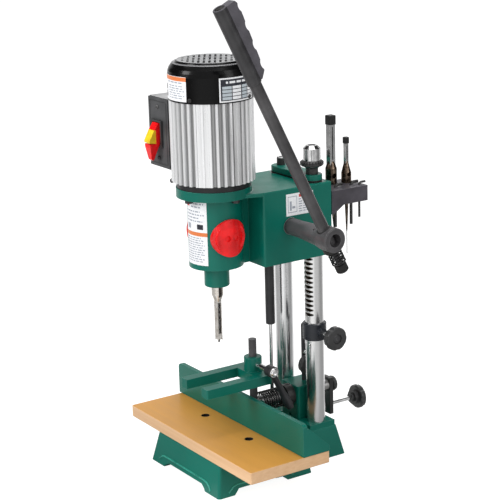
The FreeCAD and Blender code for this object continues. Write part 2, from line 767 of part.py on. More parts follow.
def make_bit():
    """The auger bit inside the chisel, gripped by the chuck."""
    low = d.chisel_tip - 3
    cutter = taper("bit_point", (0, 0, low), "Z", 0.6, d.bit_rad, 6)
    shaft = rod("bit_shaft", (0, 0, low + 6), "Z", d.bit_rad, 392 - low - 6)
    return fuse("bit", [cutter, shaft])


def make_chuck():
    """The keyed chuck on the motor shaft."""
    profile = [(2.95, 0), (6, 0), (11, 8), (17, 14), (18, 18), (18, 50), (14, 58), (8.05, 58),
               (8.05, 30), (2.95, 30)]
    return turned("chuck", profile, (0, 0, 378))


def make_rotor():
    shaft = rod("rotor_shaft", (0, 0, 408), "Z", d.rotor_shaft_rad, 250)
    core = rod("rotor_core", (0, 0, 515), "Z", d.rotor_rad, 75)
    return fuse("rotor", [shaft, core])


def make_fan():
    piece = Piece("fan")
    piece.pad(circle(piece.sketch("XY_Plane"), 0, 0, 52), 2)
    piece.pad(circle(piece.sketch("XY_Plane"), 0, 0, 14), 16)
    blade = rectangle(piece.sketch("XY_Plane"), (12, -1.2), (50, 1.2))
    piece.around(piece.pad(blade, 16), 8)
    piece.pocket(circle(piece.sketch("XY_Plane", 16), 0, 0, d.rotor_shaft_rad), 16)
    return piece.done((0, 0, 636))


sub_part("chisel", make_chisel())
sub_part("auger_bit", make_bit())
sub_part("drill_chuck", make_chuck())
sub_part("rotor", make_rotor())
sub_part("cooling_fan", make_fan())

# ---------------------------------------------------------------- motor


def make_shield():
    """The black lower end shield, whose spigot centres the motor in the head."""
    profile = [(16, 468), (36.5, 468), (36.5, 478), (d.shield_rad, 478),
               (d.shield_rad, d.shield_top), (54, d.shield_top), (54, 484), (16, 484)]
    return turned("shield", profile)


def make_shell():
    """The aluminium shell: fins all round, with flat pads between some of them."""
    piece = Piece("shell")
    height = d.shell_top - d.shell_bottom
    ring_outline = piece.sketch("XY_Plane")
    circle(ring_outline, 0, 0, d.motor_rad)
    circle(ring_outline, 0, 0, d.shield_rad + 0.1)
    piece.pad(ring_outline, height)
    groove = piece.sketch("XY_Plane", height)
    root = d.motor_rad - d.fin_depth
    crest = d.motor_rad + 1
    polygon(groove, [(crest, -4.6), (root, -1.5), (root, 1.5), (crest, 4.6)])
    piece.around(piece.pocket(groove, height), d.fin_count)
    for angle, half_width in SHELL_PADS:
        turn = math.radians(angle)
        out = Vector(math.sin(turn), -math.cos(turn), 0)
        side = Vector(math.cos(turn), math.sin(turn), 0)
        corners = []
        for reach, wide in ((60, -1), (60, 1), (65.2, 1), (65.2, -1)):
            spot = out * reach + side * (wide * half_width)
            corners.append((spot.x, spot.y))
        piece.pad(polygon(piece.sketch("XY_Plane"), corners), height)
    return piece.done((0, 0, d.shell_bottom))


SHELL_PADS = ((46, 10), (94, 6), (-44, 10), (136, 10), (-134, 10), (-90, 6))


def make_windings():
    coils = []
    for low in (503, 590.5):
        profile = [(34, low), (54, low), (57, low + 3), (57, low + 9), (54, low + 12),
                   (34, low + 12), (31.5, low + 9), (31.5, low + 3)]
        coils.append(turned("coil", profile))
    return group("coils", coils)


def make_bearings():
    lower = ring("lower_race", (0, 0, 470), "Z", d.rotor_shaft_rad + d.running_gap, 16, 12)
    upper = ring("upper_race", (0, 0, 606), "Z", d.rotor_shaft_rad + d.running_gap, 16, 11)
    return group("races", [lower, upper])


def make_upper_shield():
    profile = [(16, 604), (d.shield_rad, 604), (d.shield_rad, 617), (62, 617), (62, 625),
               (58, 625), (58, 619), (16, 619)]
    return turned("upper_shield", profile)


def make_fan_cover():
    """The glossy black cowl, with a rounded shoulder and a grooved top ring."""
    cover = d.cover_rad
    top = d.cover_top
    profile = [(cover - 3, 617), (cover, 617), (cover, 656), (cover - 0.7, 662),
               (cover - 2.6, 667), (cover - 5.5, 671), (59.5, 673.5), (57, 675),
               (56, 673.6), (54.6, 673.6), (53.5, top - 3), (d.grille_rad, top - 1.5),
               (d.grille_rad, top - 4.5), (54.5, 671.5), (59, 669), (cover - 3, 660)]
    piece = Piece("cowl")
    piece.revolve(polygon(piece.sketch("XZ_Plane"), profile))
    return piece.done()


def make_grille():
    """The disc over the fan, pierced by rows of short slots that run askew to the machine."""
    piece = Piece("grille")
    piece.pad(circle(piece.sketch("XY_Plane"), 0, 0, d.grille_rad), 3)
    for row in range(-5, 6):
        y = 8.4 * row
        reach = math.sqrt(46 ** 2 - y ** 2)
        slots = piece.sketch("XY_Plane", 3)
        for low, high in ((-reach, -reach / 3 - 2), (-reach / 3 + 2, reach / 3 - 2),
                          (reach / 3 + 2, reach)):
            rectangle(slots, (low, y - 1.9), (high, y + 1.9))
        piece.pocket(slots, 3)
    return piece.done((0, 0, d.cover_top - 4.5), Rotation(Vector(0, 0, 1), -33))


def fan_cover_screws():
    screws = []
    for angle in (29, 119, 209, 299):
        turn = Rotation(Vector(0, 0, 1), angle - 90)
        spot = turn.multVec(Vector(number_of(d.cover_rad), 0, 0))
        screw = turned("cover_screw", [(0, 0), (3.2, 0), (3.2, 1.2), (2.2, 2.2), (1, 2.2),
                                       (1, 1.2), (0, 1.2)])
        place(screw, (spot.x, spot.y, 622.5), turn * ALONG["X"])
        screws.append(screw)
    return screws


def make_gland():
    """The cable gland on the lower shield's left front."""
    turn = Rotation(Vector(0, 0, 1), 217)
    tilt = Rotation(Vector(0, 1, 0), 98)
    start = turn.multVec(Vector(57, 0, 0))
    gland = turned("gland", [(0, 0), (4.7, 0), (4.7, 7), (3.8, 8), (3.8, 15), (2.6, 16.5),
                             (0, 16.5)])
    place(gland, (start.x, start.y, 483.2), turn * tilt)
    seat = rod("gland_seat", (0, 0, 470), "Z", d.shield_rad + 0.02, 30)
    return cut("gland_end", gland, [seat])


sub_part("motor_lower_shield", make_shield())
sub_part("motor_shell", make_shell())
sub_part("stator_core", ring("stator", (0, 0, 515), "Z", 31.5, d.shield_rad, 75))
sub_part("stator_windings", make_windings())
sub_part("motor_bearings", make_bearings())
sub_part("motor_upper_shield", make_upper_shield())
sub_part("fan_cover", make_fan_cover())
sub_part("fan_grille", make_grille())
sub_part("cable_gland", make_gland())

# ---------------------------------------------------------------- switch


def make_switch_box():
    """A folded steel box, open at the front, with the saddle that fits the motor shell."""
    piece = Piece("switch")
    front = d.switch_face + 2
    outline = piece.sketch("XY_Plane", d.switch_bottom)
    rectangle(outline, (d.switch_left, front), (d.switch_right, d.switch_back))
    piece.pad(outline, d.switch_top - d.switch_bottom)
    piece.dress("Fillet", 3, lambda edge: upright_edge(edge, d.switch_bottom, d.switch_top))
    inside = piece.sketch("XZ_Plane", -front)
    rectangle(inside, (d.switch_left + 3.2, d.switch_bottom + 3.2),
              (d.switch_right - 3.2, d.switch_top - 3.2))
    piece.pocket(inside, d.switch_back - front - 2)
    saddle = box("saddle", (d.switch_right - 0.5, -18, 512), (-56, 18, 584))
    motor = rod("saddle_seat", (0, 0, 500), "Z", d.motor_rad + 0.1, 100)
    bracket = cut("bracket", saddle, [motor])
    return fuse("box_and_saddle", [piece.done(), bracket])


def make_switch_plate():
    piece = Piece("plate")
    outline = piece.sketch("XZ_Plane", -d.switch_face - 2)
    rectangle(outline, (d.switch_left + 1, d.switch_bottom + 1),
              (d.switch_right - 1, d.switch_top - 1))
    piece.pad(outline, 2)
    opening = piece.sketch("XZ_Plane", -d.switch_face + 1)
    rectangle(opening, (-132, 526.5), (-105.5, 566.5))
    piece.pocket(opening, 8)
    return piece.done()


def make_switch_body():
    """The switch mechanism behind the plate, with its bezel in front."""
    body = box("mechanism", (-131.8, d.switch_face - 2, 526.7), (-105.7, 14, 566.3))
    frame = box("bezel", (-134, d.switch_face - 4, 524.5), (-103.5, d.switch_face, 568.5))
    recess = box("recess", (-131, d.switch_face - 5, 528), (-106.5, d.switch_face + 3, 565.5))
    return cut("switch_mechanism", fuse("bezel_and_body", [body, frame]), [recess])


def switch_plate_screws():
    profile = [(0, 0), (3.6, 0), (3.6, 1), (2.4, 2.2), (1, 2.2), (1, 1.2), (0, 1.2)]
    screws = []
    for z in (d.switch_screw_low, d.switch_screw_high):
        screw = turned("plate_screw", profile)
        place(screw, (d.switch_screw_x, d.switch_face, z), Rotation(Vector(1, 0, 0), 90))
        screws.append(screw)
    return screws


def make_paddle():
    """The red stop paddle: it hinges at its top, and narrows to its lower end."""
    half = d.paddle_half_x
    piece = Piece("paddle")
    outline = piece.sketch("YZ_Plane", d.paddle_x - half)
    polygon(outline, [(-29.5, 564.5), (-33, 564.5), (-35.4, 560.5), (-40, 554), (-48.5, 537),
                      (-48.5, 526), (-45, 506), (-42.5, 504), (-40, 505.5), (-36.7, 516),
                      (-31.5, 530), (-29.5, 546)])
    piece.pad(outline, half * 2)
    seat = piece.sketch("YZ_Plane", d.paddle_x + half)
    polygon(seat, [(-60, KEY_LOW - 0.2), (-37.3, KEY_LOW - 0.2), (-37.3, KEY_HIGH + 0.2),
                   (-60, KEY_HIGH + 0.2)])
    piece.pocket(seat, half * 2)
    slot = piece.sketch("YZ_Plane", d.paddle_x + 4.2)
    rectangle(slot, (-40, 537.8), (-33.3, 548.2))
    piece.pocket(slot, 8.4)
    taper_cut = piece.sketch("XZ_Plane", 60)
    for side in (-1, 1):
        x = d.paddle_x + half * side
        polygon(taper_cut, [(x + side, 528), (x - 0.2 * side, 528), (x - 5 * side, 502),
                            (x + side, 502)])
    piece.pocket(taper_cut, 40)
    barrel = rod("hinge_barrel", (d.paddle_x - half, -31, 562), "X", 2.2, half * 2)
    return fuse("paddle_and_hinge", [piece.done(), barrel])


KEY_LOW = 531.6
KEY_HIGH = 553.6


def make_safety_key():
    """The yellow key across the paddle's front, with a tongue that plugs into it."""
    half = d.paddle_half_x - 0.8
    piece = Piece("key")
    outline = piece.sketch("YZ_Plane", d.paddle_x - half)
    polygon(outline, [(-37.5, KEY_HIGH), (-40.8, KEY_HIGH), (-49.8, 537), (-49.8, 533.6),
                      (-37.5, KEY_LOW)])
    piece.pad(outline, half * 2)
    tongue = piece.sketch("YZ_Plane", d.paddle_x - 4)
    rectangle(tongue, (-38, 538), (-33.5, 548))
    piece.pad(tongue, 8)
    return piece.done()


sub_part("switch_box", make_switch_box())
sub_part("switch_plate", make_switch_plate())
sub_part("switch_mechanism", make_switch_body())
sub_part("head_bolts", group("head_bolt_set", flange_bolts() + fan_cover_screws()
                             + switch_plate_screws()))
sub_part("stop_paddle", make_paddle())
sub_part("safety_key", make_safety_key())

# ---------------------------------------------------------------- pinion and lever


PITCH_RAD = d.pinion_module * d.pinion_teeth / 2


def pinion_turn():
    """Turn the pinion so that one of its spaces faces the nearest rack tooth."""
    pitch = DIMENSIONS["rack_pitch"]
    past_gap = (DIMENSIONS["pinion_z"] - DIMENSIONS["rack_start"]) % pitch
    angle = math.degrees((pitch / 2 - past_gap) / PITCH_RAD.number)
    lying = Rotation(Vector(0, 0, 1), Vector(0, -1, 0), Vector(1, 0, 0))
    return Rotation(Vector(1, 0, 0), angle) * lying


def make_pinion():
    """The feed pinion, cut in one piece with its shaft."""
    outer = PITCH_RAD + d.pinion_module
    root = PITCH_RAD - d.pinion_module * 1.2
    piece = Piece("pinion")
    piece.pad(circle(piece.sketch("XY_Plane"), 0, 0, outer), d.gear_width)
    half_pitch = d.pinion_module * math.pi / 2
    space = piece.sketch("XY_Plane", d.gear_width)
    polygon(space, [(root, -half_pitch * 0.31), (outer + 1, -half_pitch * 0.87),
                    (outer + 1, half_pitch * 0.87), (root, half_pitch * 0.31)])
    piece.around(piece.pocket(space, d.gear_width), d.pinion_teeth)
    piece.pad(circle(piece.sketch("XY_Plane", -20), 0, 0, d.shaft_rad), 70)
    return piece.done((d.gear_left, d.pinion_y, d.pinion_z), pinion_turn())


def lever_frame(distance):
    """A point on the lever's axis, measured from the hub's centre towards the grip."""
    lean = math.radians(DIMENSIONS["lever_lean"])
    return (DIMENSIONS["lever_x"], DIMENSIONS["pinion_y"] - distance * math.sin(lean),
            DIMENSIONS["pinion_z"] + distance * math.cos(lean))


LEVER_TURN = Rotation(Vector(1, 0, 0), DIMENSIONS["lever_lean"])


def on_lever(thing, distance):
    """Stand a piece on the lever's axis, with its own +Z towards the grip."""
    return place(thing, lever_frame(distance), LEVER_TURN)


def make_hub():
    """The lever hub: it widens to its open end; the lever crosses it, over a spring seat."""
    length = d.hub_end - d.head_half_x - 0.4
    profile = [(d.shaft_rad, 0), (d.hub_small_rad, 0), (d.hub_small_rad + 0.4, 30), (16.5, 76),
               (d.hub_big_rad, 92), (d.hub_big_rad, length - 1.5), (d.hub_big_rad - 1.5, length),
               (d.hub_bore_rad, length), (d.hub_bore_rad, length - 26), (0, length - 26),
               (0, 18), (d.shaft_rad, 18)]
    hub = turned("hub_body", profile, (d.head_half_x + 0.4, d.pinion_y, d.pinion_z), "X")
    seat = on_lever(rod("seat_boss", (0, 0, 0), "Z", d.seat_rad, 9), -d.seat_low)
    face = rod("hub_face", (d.hub_end - 26, d.pinion_y, d.pinion_z), "X", d.hub_bore_rad, 26)
    hole = on_lever(rod("lever_hole", (0, 0, 0), "Z", d.lever_bore_rad, 60), -30)
    keyway = rod("index_notch", (142, d.pinion_y - 12, d.pinion_z + 12), "X", 2.2, 6)
    return cut("hub", fuse("hub_and_seat", [hub, seat]), [hole, keyway, face])


def make_lever():
    """The feed lever: a plain bar with a thinner threaded tail."""
    grip_start = d.lever_top - d.grip_length
    tail = -d.lever_tail
    bar = d.lever_rad
    profile = [(0, tail + 6), (5, tail + 6), (5, -20.2), (bar, -19.8), (bar, grip_start),
               (8, grip_start + 4), (8, grip_start + 100), (0, grip_start + 100)]
    return on_lever(turned("lever_bar", profile), 0)


def make_grip():
    """The moulded grip: a tube over the bar and a scalloped panel behind it."""
    length = d.grip_length
    piece = Piece("grip")
    piece.pad(circle(piece.sketch("XY_Plane"), 0, 0, d.grip_rad), length)
    panel = piece.sketch("YZ_Plane", -8)
    polygon(panel, [(0, 2), (11, 2), (19.5, 11), (26.5, 118), (23, length), (0, length)])
    piece.pad(panel, 16)
    scallops = piece.sketch("YZ_Plane", 20)
    for k in range(4):
        circle(scallops, 31.8 + 2 * k, 20 + 31 * k, 14)
    piece.pocket(scallops, 40)
    socket = circle(piece.sketch("XY_Plane"), 0, 0, d.lever_rad)
    piece.pocket(socket, 4, back=True)
    inner = circle(piece.sketch("XY_Plane", 4), 0, 0, 8)
    piece.pocket(inner, 96, back=True)
    return on_lever(piece.body, d.lever_top - length)


def make_tail_nut():
    """The knurled nut that holds the lever's spring."""
    piece = Piece("nut")
    rim = d.tail_nut_rad
    piece.pad(circle(piece.sketch("XY_Plane"), 0, 0, rim), 14)
    piece.dress("Chamfer", 1.5, lambda edge: True)
    groove = piece.sketch("XY_Plane", 14)
    polygon(groove, [(rim + 0.8, -0.8), (rim - 0.6, 0), (rim + 0.8, 0.8)])
    piece.around(piece.pocket(groove, 14), 30)
    piece.pocket(circle(piece.sketch("XY_Plane", 14), 0, 0, 5), 8)
    return on_lever(piece.body, -d.lever_tail)


def make_lever_spring():
    """The spring between the hub and the tail nut, as the tube that it fills."""
    outer = d.lever_spring_rad
    length = d.lever_tail - 14.6 - d.seat_low
    spring = ring("spring_tube", (0, 0, 0), "Z", outer - 2.2, outer, length)
    return on_lever(spring, 14.2 - d.lever_tail)


sub_part("pinion_shaft", make_pinion())
sub_part("lever_hub", make_hub())
sub_part("lever_bar", make_lever())
sub_part("lever_grip", make_grip())
sub_part("lever_tail_nut", make_tail_nut())
sub_part("lever_spring", make_lever_spring())

# ---------------------------------------------------------------- fence and hold-down


def make_fence():
    """An angle section with a gusset at each end and a low block for the slide bar."""
    piece = Piece("fence")
    face = d.fence_face
    back = face + d.fence_thick
    shelf = d.fence_bottom + d.flange_thick
    section = piece.sketch("YZ_Plane", d.fence_left)
    polygon(section, [(face, d.fence_bottom), (83.5, d.fence_bottom), (83.5, shelf),
                      (back, shelf), (back, d.fence_top), (face, d.fence_top)])
    piece.pad(section, d.fence_right - d.fence_left)
    piece.dress("Fillet", 7, is_fence_corner)
    for shift in (d.fence_left, d.fence_right - 7):
        gusset = piece.sketch("YZ_Plane", shift)
        polygon(gusset, [(back - 1, shelf - 1), (83.5, shelf - 1), (83.5, shelf + 2),
                         (back + 3, d.fence_top - 8), (back - 1, d.fence_top - 8)])
        piece.pad(gusset, 7)
    block = piece.sketch("XY_Plane", shelf - 1)
    rectangle(block, (-17, back - 1), (17, d.spring_front))
    piece.pad(block, 105 - shelf)
    bar_hole = circle(piece.sketch("XZ_Plane", -d.spring_front), 0, d.bar_z, d.bar_rad)
    piece.pocket(bar_hole, 26, back=True)
    return piece.done()


def is_fence_corner(edge):
    """The two top corners at the fence's ends."""
    limits = edge.BoundBox
    ends = (DIMENSIONS["fence_left"], DIMENSIONS["fence_right"])
    at_end = limits.XLength < 0.01 and min(abs(limits.XMin - end) for end in ends) < 0.01
    return at_end and level_edge(edge, d.fence_top)


def make_fence_bar():
    """The round bar that carries the fence: the post stands in it, a knob ends it."""
    start = 49
    bar = rod("bar", (0, start, d.bar_z), "Y", d.bar_rad, d.rear_plate_rear - start)
    stud = rod("bar_stud", (0, d.rear_plate_rear, d.bar_z), "Y", 4, 7)
    post_hole = rod("post_hole", (0, d.post_y, d.bar_z), "Z", d.post_rad, 20)
    return cut("fence_slide_bar", fuse("bar_and_stud", [bar, stud]), [post_hole])


def make_rear_plate():
    """The black plate that joins the slide bar to the guide rod."""
    piece = Piece("rear_plate")
    half = d.rear_plate_half_x
    outline = piece.sketch("XY_Plane", d.rear_plate_low)
    rectangle(outline, (-half, d.rear_plate_front), (half, d.rear_plate_rear))
    piece.pad(outline, d.rear_plate_top - d.rear_plate_low)
    piece.dress("Fillet", 1.2, lambda edge: True)
    holes = piece.sketch("XZ_Plane", -d.rear_plate_rear)
    circle(holes, 0, d.bar_z, d.bar_rad)
    circle(holes, 0, d.guide_z, d.guide_rad + d.running_gap)
    piece.pocket(holes, d.rear_plate_rear - d.rear_plate_front, back=True)
    return piece.done()


def make_slide_block():
    """The green block behind the table that the bar and the guide rod slide in."""
    piece = Piece("slide")
    outline = piece.sketch("XY_Plane", d.base_height)
    rectangle(outline, (-d.block_half_x, d.block_front), (d.block_half_x, d.block_rear))
    piece.pad(outline, d.block_top - d.base_height)
    piece.dress("Fillet", 4, lambda edge: upright_edge(edge, d.base_height, d.block_top))
    piece.dress("Fillet", 2, lambda edge: level_edge(edge, d.block_top))
    holes = piece.sketch("XZ_Plane", -d.block_rear)
    circle(holes, 0, d.bar_z, d.bar_rad + d.running_gap)
    circle(holes, 0, d.guide_z, d.guide_rad + d.running_gap)
    piece.pocket(holes, d.block_rear - d.block_front, back=True)
    return piece.done()


def make_fork():
    """The hold-down fork: a boss on the post and two prongs over the work."""
    piece = Piece("fork")
    outline = piece.sketch("XY_Plane", d.fork_bottom)
    outer = d.fork_outer_x
    inner = d.fork_inner_x
    polygon(outline, [(outer, d.fork_tip_y), (outer, 72), (outer - 10, 80), (10 - outer, 80),
                      (-outer, 72), (-outer, d.fork_tip_y), (-inner, d.fork_tip_y), (-inner, 48),
                      (inner, 48), (inner, d.fork_tip_y)])
    piece.pad(outline, d.fork_thick)
    piece.dress("Fillet", 2, is_fork_rim)
    piece.pad(circle(piece.sketch("XY_Plane", d.fork_bottom), 0, d.post_y, d.fork_boss_rad),
              d.fork_boss_top - d.fork_bottom)
    piece.dress("Fillet", 1.5, lambda edge: level_edge(edge, d.fork_boss_top))
    bore = circle(piece.sketch("XY_Plane", d.fork_boss_top), 0, d.post_y,
                  d.post_rad + d.running_gap)
    piece.pocket(bore, d.fork_boss_top - d.fork_bottom)
    stud_hole = circle(piece.sketch("YZ_Plane", 16), d.post_y, d.clamp_z,
                       5 + d.running_gap)
    piece.pocket(stud_hole, 16)
    return piece.done()


def is_fork_rim(edge):
    """The outer corners of the prongs."""
    high = DIMENSIONS["fork_bottom"] + DIMENSIONS["fork_thick"]
    limits = edge.BoundBox
    outside = abs(limits.XMin) > 25 and limits.YMin < 60
    return upright_edge(edge, d.fork_bottom, high) and outside


def make_clamp_lever():
    """The hand lever that locks the fork on its post, with its stud and end screw."""
    hub = turned("clamp_hub", [(0, 0), (8, 0), (9.5, 2), (9.5, 16), (8, 18), (0, 18)],
                 (44, d.post_y, d.clamp_z), "X")
    direction = Rotation(Vector(0, 0, 1), Vector(5, 33, -68))
    arm = turned("clamp_arm", [(0, 7), (5, 7), (5.4, 46), (6.6, 58), (7.2, 70), (5.8, 76),
                               (0, 77)])
    place(arm, (53, d.post_y, d.clamp_z), direction)
    stud = rod("stud", (7.4, d.post_y, d.clamp_z), "X", 5, 45)
    head = turned("stud_head", [(0, 0), (6.4, 0), (6.4, 2.4), (5, 3.6), (3, 3.6), (3, 1.6),
                                (0, 1.6)], (61.9, d.post_y, d.clamp_z), "X")
    return fuse("clamp_handle", [hub, arm, stud, head])


sub_part("fence", make_fence())
sub_part("fence_bar", make_fence_bar())
sub_part("hold_down_post", rod("post", (0, d.post_y, d.bar_z), "Z", d.post_rad,
                               d.post_top - d.bar_z))
sub_part("rear_plate", make_rear_plate())
sub_part("slide_block", make_slide_block())
sub_part("spring_washer", ring("washer", (0, d.spring_rear, d.bar_z), "Y", 10.4,
                               d.spring_washer_rad, d.block_front - d.spring_rear))
sub_part("fence_spring", ring("coil_tube", (0, d.spring_front, d.bar_z), "Y",
                              d.spring_rad - 2.4, d.spring_rad,
                              d.spring_rear - d.spring_front))
sub_part("hold_down_fork", make_fork())
sub_part("clamp_lever", make_clamp_lever())
sub_part("bar_knob", lobed_knob("bar_hand_knob", (0, d.rear_plate_rear + 0.4, d.bar_z),
                                "Y", 13, 8, 4.05))


def make_guide_knob():
    """The large rear knob: a lobed disc on a stepped hub, on the end of its guide rod."""
    guide = rod("guide", (0, 150, d.guide_z), "Y", d.guide_rad, 120)
    small_hub = rod("small_hub", (0, 262, d.guide_z), "Y", 8, 6)
    big_hub = rod("big_hub", (0, 266, d.guide_z), "Y", 12, 9)
    knob = lobed_knob("guide_hand_knob", (0, 273, d.guide_z), "Y", 20.5, 10.5)
    return fuse("guide_and_knob", [guide, small_hub, big_hub, knob])


sub_part("guide_knob", make_guide_knob())

# ---------------------------------------------------------------- strut and stops


def make_strut_cylinder():
    """The gas strut's tube, with a guide at its mouth for the rod."""
    length = d.strut_top - d.strut_bottom
    profile = [(d.strut_rod_rad + d.running_gap, 0), (d.strut_rad - 0.8, 0), (d.strut_rad, 1),
               (d.strut_rad, length), (0, length), (0, length - 6), (6.4, length - 6),
               (6.4, 8), (d.strut_rod_rad + d.running_gap, 8)]
    return turned("strut_tube", profile, (d.strut_x, d.strut_y, d.strut_bottom))


def make_strut_rod():
    """The strut's rod, from the base to its piston."""
    low = number_of(d.base_height)
    profile = [(0, 0), (6, 0), (6, 7), (d.strut_rod_rad, 9), (d.strut_rod_rad, 232 - low),
               (6.1, 232 - low), (6.1, 238 - low), (0, 238 - low)]
    return turned("strut_piston_rod", profile, (d.strut_x, d.strut_y, d.base_height))


def make_collar():
    """The split depth-stop collar, with a boss for its clamp screw."""
    piece = Piece("collar")
    height = d.collar_top - d.collar_bottom
    piece.pad(circle(piece.sketch("XY_Plane"), 0, 0, d.collar_rad), height)
    piece.dress("Chamfer", 1, lambda edge: True)
    boss = circle(piece.sketch("YZ_Plane", 12), 0, d.collar_screw_z - d.collar_bottom, 8)
    piece.pad(boss, 12)
    piece.pocket(circle(piece.sketch("XY_Plane", height), 0, 0,
                        d.column_rad + d.running_gap), height)
    screw_hole = circle(piece.sketch("YZ_Plane", 26), 0,
                        d.collar_screw_z - d.collar_bottom, 4 + d.running_gap)
    piece.pocket(screw_hole, 18)
    split = piece.sketch("XY_Plane", height)
    rectangle(split, (-22, -1), (-10, 1))
    piece.pocket(split, height)
    return piece.done((d.column_x, d.column_y, d.collar_bottom))


def make_stop_knob():
    """The collar's clamp knob with its moulded-in screw."""
    screw = rod("stop_stem", (59.8, d.column_y, d.collar_screw_z), "X", 4, 36)
    hub = taper("stop_hub", (85, d.column_y, d.collar_screw_z), "X", 8, 15, 10)
    knob = lobed_knob("stop_hand_knob", (94, d.column_y, d.collar_screw_z), "X", 19.5, 13)
    return fuse("screw_and_knob", [screw, hub, knob])


def make_stop_bar():
    """The slotted strap that stands between the columns, with a cap nut on its side."""
    piece = Piece("strap")
    half = d.strap_half_x
    outline = piece.sketch("YZ_Plane", -half)
    rectangle(outline, (d.strap_front, d.block_top), (d.strap_rear, d.strap_top))
    piece.pad(outline, half * 2)
    piece.dress("Fillet", 5, lambda edge: edge.BoundBox.ZMin > number_of(d.strap_top) - 0.01
                and edge.BoundBox.YLength < 0.01)
    openings = piece.sketch("YZ_Plane", half)
    rectangle(openings, (168, 180), (172.4, 210))
    circle(openings, d.strap_knob_y, d.strap_knob_z, 4.05)
    piece.pocket(openings, half * 2)
    nut = turned("cap_nut", [(0, 0), (3.4, 0), (3.4, 3.5), (2.4, 5.4), (0, 6)],
                 (half, 166, 167.2), "X")
    return fuse("strap_and_nut", [piece.done(), nut])


def make_stop_bar_knob():
    """The strap's clamp knob, with its stud through the strap."""
    stud = rod("strap_stud", (-7, d.strap_knob_y, d.strap_knob_z), "X", 4, 15)
    knob = lobed_knob("strap_hand_knob", (d.strap_half_x + 1, d.strap_knob_y, d.strap_knob_z),
                      "X", d.strap_knob_rad, 13)
    return fuse("stud_and_knob", [stud, knob])


sub_part("strut_cylinder", make_strut_cylinder())
sub_part("strut_rod", make_strut_rod())
sub_part("stop_collar", make_collar())
sub_part("stop_knob", make_stop_knob())
sub_part("stop_bar", make_stop_bar())
sub_part("stop_bar_knob", make_stop_bar_knob())

# ---------------------------------------------------------------- tool holder


def make_tool_holder():
    """The folded steel holder on the back of the head."""
    piece = Piece("holder")
    left = d.holder_left
    right = d.head_half_x
    back = d.head_rear
    rear = d.holder_rear
    top = d.holder_top
    thick = d.holder_sheet
    shelf = piece.sketch("XY_Plane", top - thick)
    rectangle(shelf, (left, back), (right, rear))
    piece.pad(shelf, thick)
    wall = piece.sketch("XY_Plane", 413.7)
    rectangle(wall, (left, back), (right, back + thick))
    piece.pad(wall, top - 413.7)
    for shift in (left, right - thick):
        side = piece.sketch("YZ_Plane", shift)
        polygon(side, [(back, 413.7), (back + 4, 413.7), (back + 24, 426.6), (rear, 426.6),
                       (rear, top), (back, top)])
        piece.pad(side, thick)
    holes = piece.sketch("XY_Plane", top)
    circle(holes, d.big_tool_x, d.big_tool_y, 9.6)
    circle(holes, d.small_tool_x, d.small_tool_y, 8.5)
    circle(holes, 46, 202, 2.7)
    circle(holes, 46, 234, 2.7)
    circle(holes, 55, 244, 2.2)
    piece.pocket(holes, thick)
    return piece.done()


def stored_chisel(name, x, y, shank_rad, shoulder, half, body_top):
    """A chisel stored point up: round shank, long shoulder, square body, chip window."""
    low, high = shoulder
    shank = rod(name + "_shank", (x, y, 444), "Z", shank_rad, low - 444)
    neck = taper(name + "_neck", (x, y, low), "Z", shank_rad, half, high - low)
    body = box(name + "_body", (x - half, y - half, low), (x + half, y + half, body_top))
    window = rod(name + "_window", (x, y, 466), "X", shank_rad * 0.42, 20)
    slot = box(name + "_slot", (x + half - 1.5, y - 1, high + 2), (x + half + 1, y + 1,
                                                                   body_top - 4))
    return cut(name, fuse(name + "_solid", [shank, neck, body]), [window, slot])


def hanging_bit(name, x, y, lean, length, tip_rad, needle):
    """The auger bit of a stored chisel: its end hangs below the shelf as a long point."""
    bit = taper(name + "_point", (0, 0, 0), "Z", 4.2, tip_rad, length)
    pin = rod(name + "_needle", (0, 0, length - 1), "Z", tip_rad * 0.8, needle)
    whole = fuse(name, [bit, pin])
    return place(whole, (x, y, 444.5), Rotation(Vector(1, 0, 0), 180 + lean))


def cap(name, x, y, half, low, high):
    """A square plastic cap over a stored chisel's point."""
    piece = Piece(name)
    piece.pad(rectangle(piece.sketch("XY_Plane"), (-half, -half), (half, half)), high - low)
    piece.dress("Fillet", 1.5, lambda edge: edge.BoundBox.ZMax > high - low - 0.01)
    return piece.done((x, y, low))


def hex_key(name, x, y, half_width, tail, reach):
    """A bent hexagon key: its long arm hangs below the shelf."""
    piece = Piece(name)
    section = hexagon(piece.sketch("XY_Plane"), half_width)
    path = piece.sketch("YZ_Plane")
    rise = 456 - tail
    bend = 2.5 * half_width
    quarter = Part.Circle(Vector(bend, rise - bend, 0), Vector(0, 0, 1), bend)
    path.addGeometry(Part.LineSegment(Vector(0, 0, 0), Vector(0, rise - bend, 0)), False)
    path.addGeometry(Part.ArcOfCircle(quarter, math.pi / 2, math.pi), False)
    path.addGeometry(Part.LineSegment(Vector(bend, rise, 0), Vector(reach, rise, 0)), False)
    pipe = piece.feature("AdditivePipe", section)
    pipe.Spine = (path, ["Edge1", "Edge2", "Edge3"])
    return piece.done((x, y, tail))


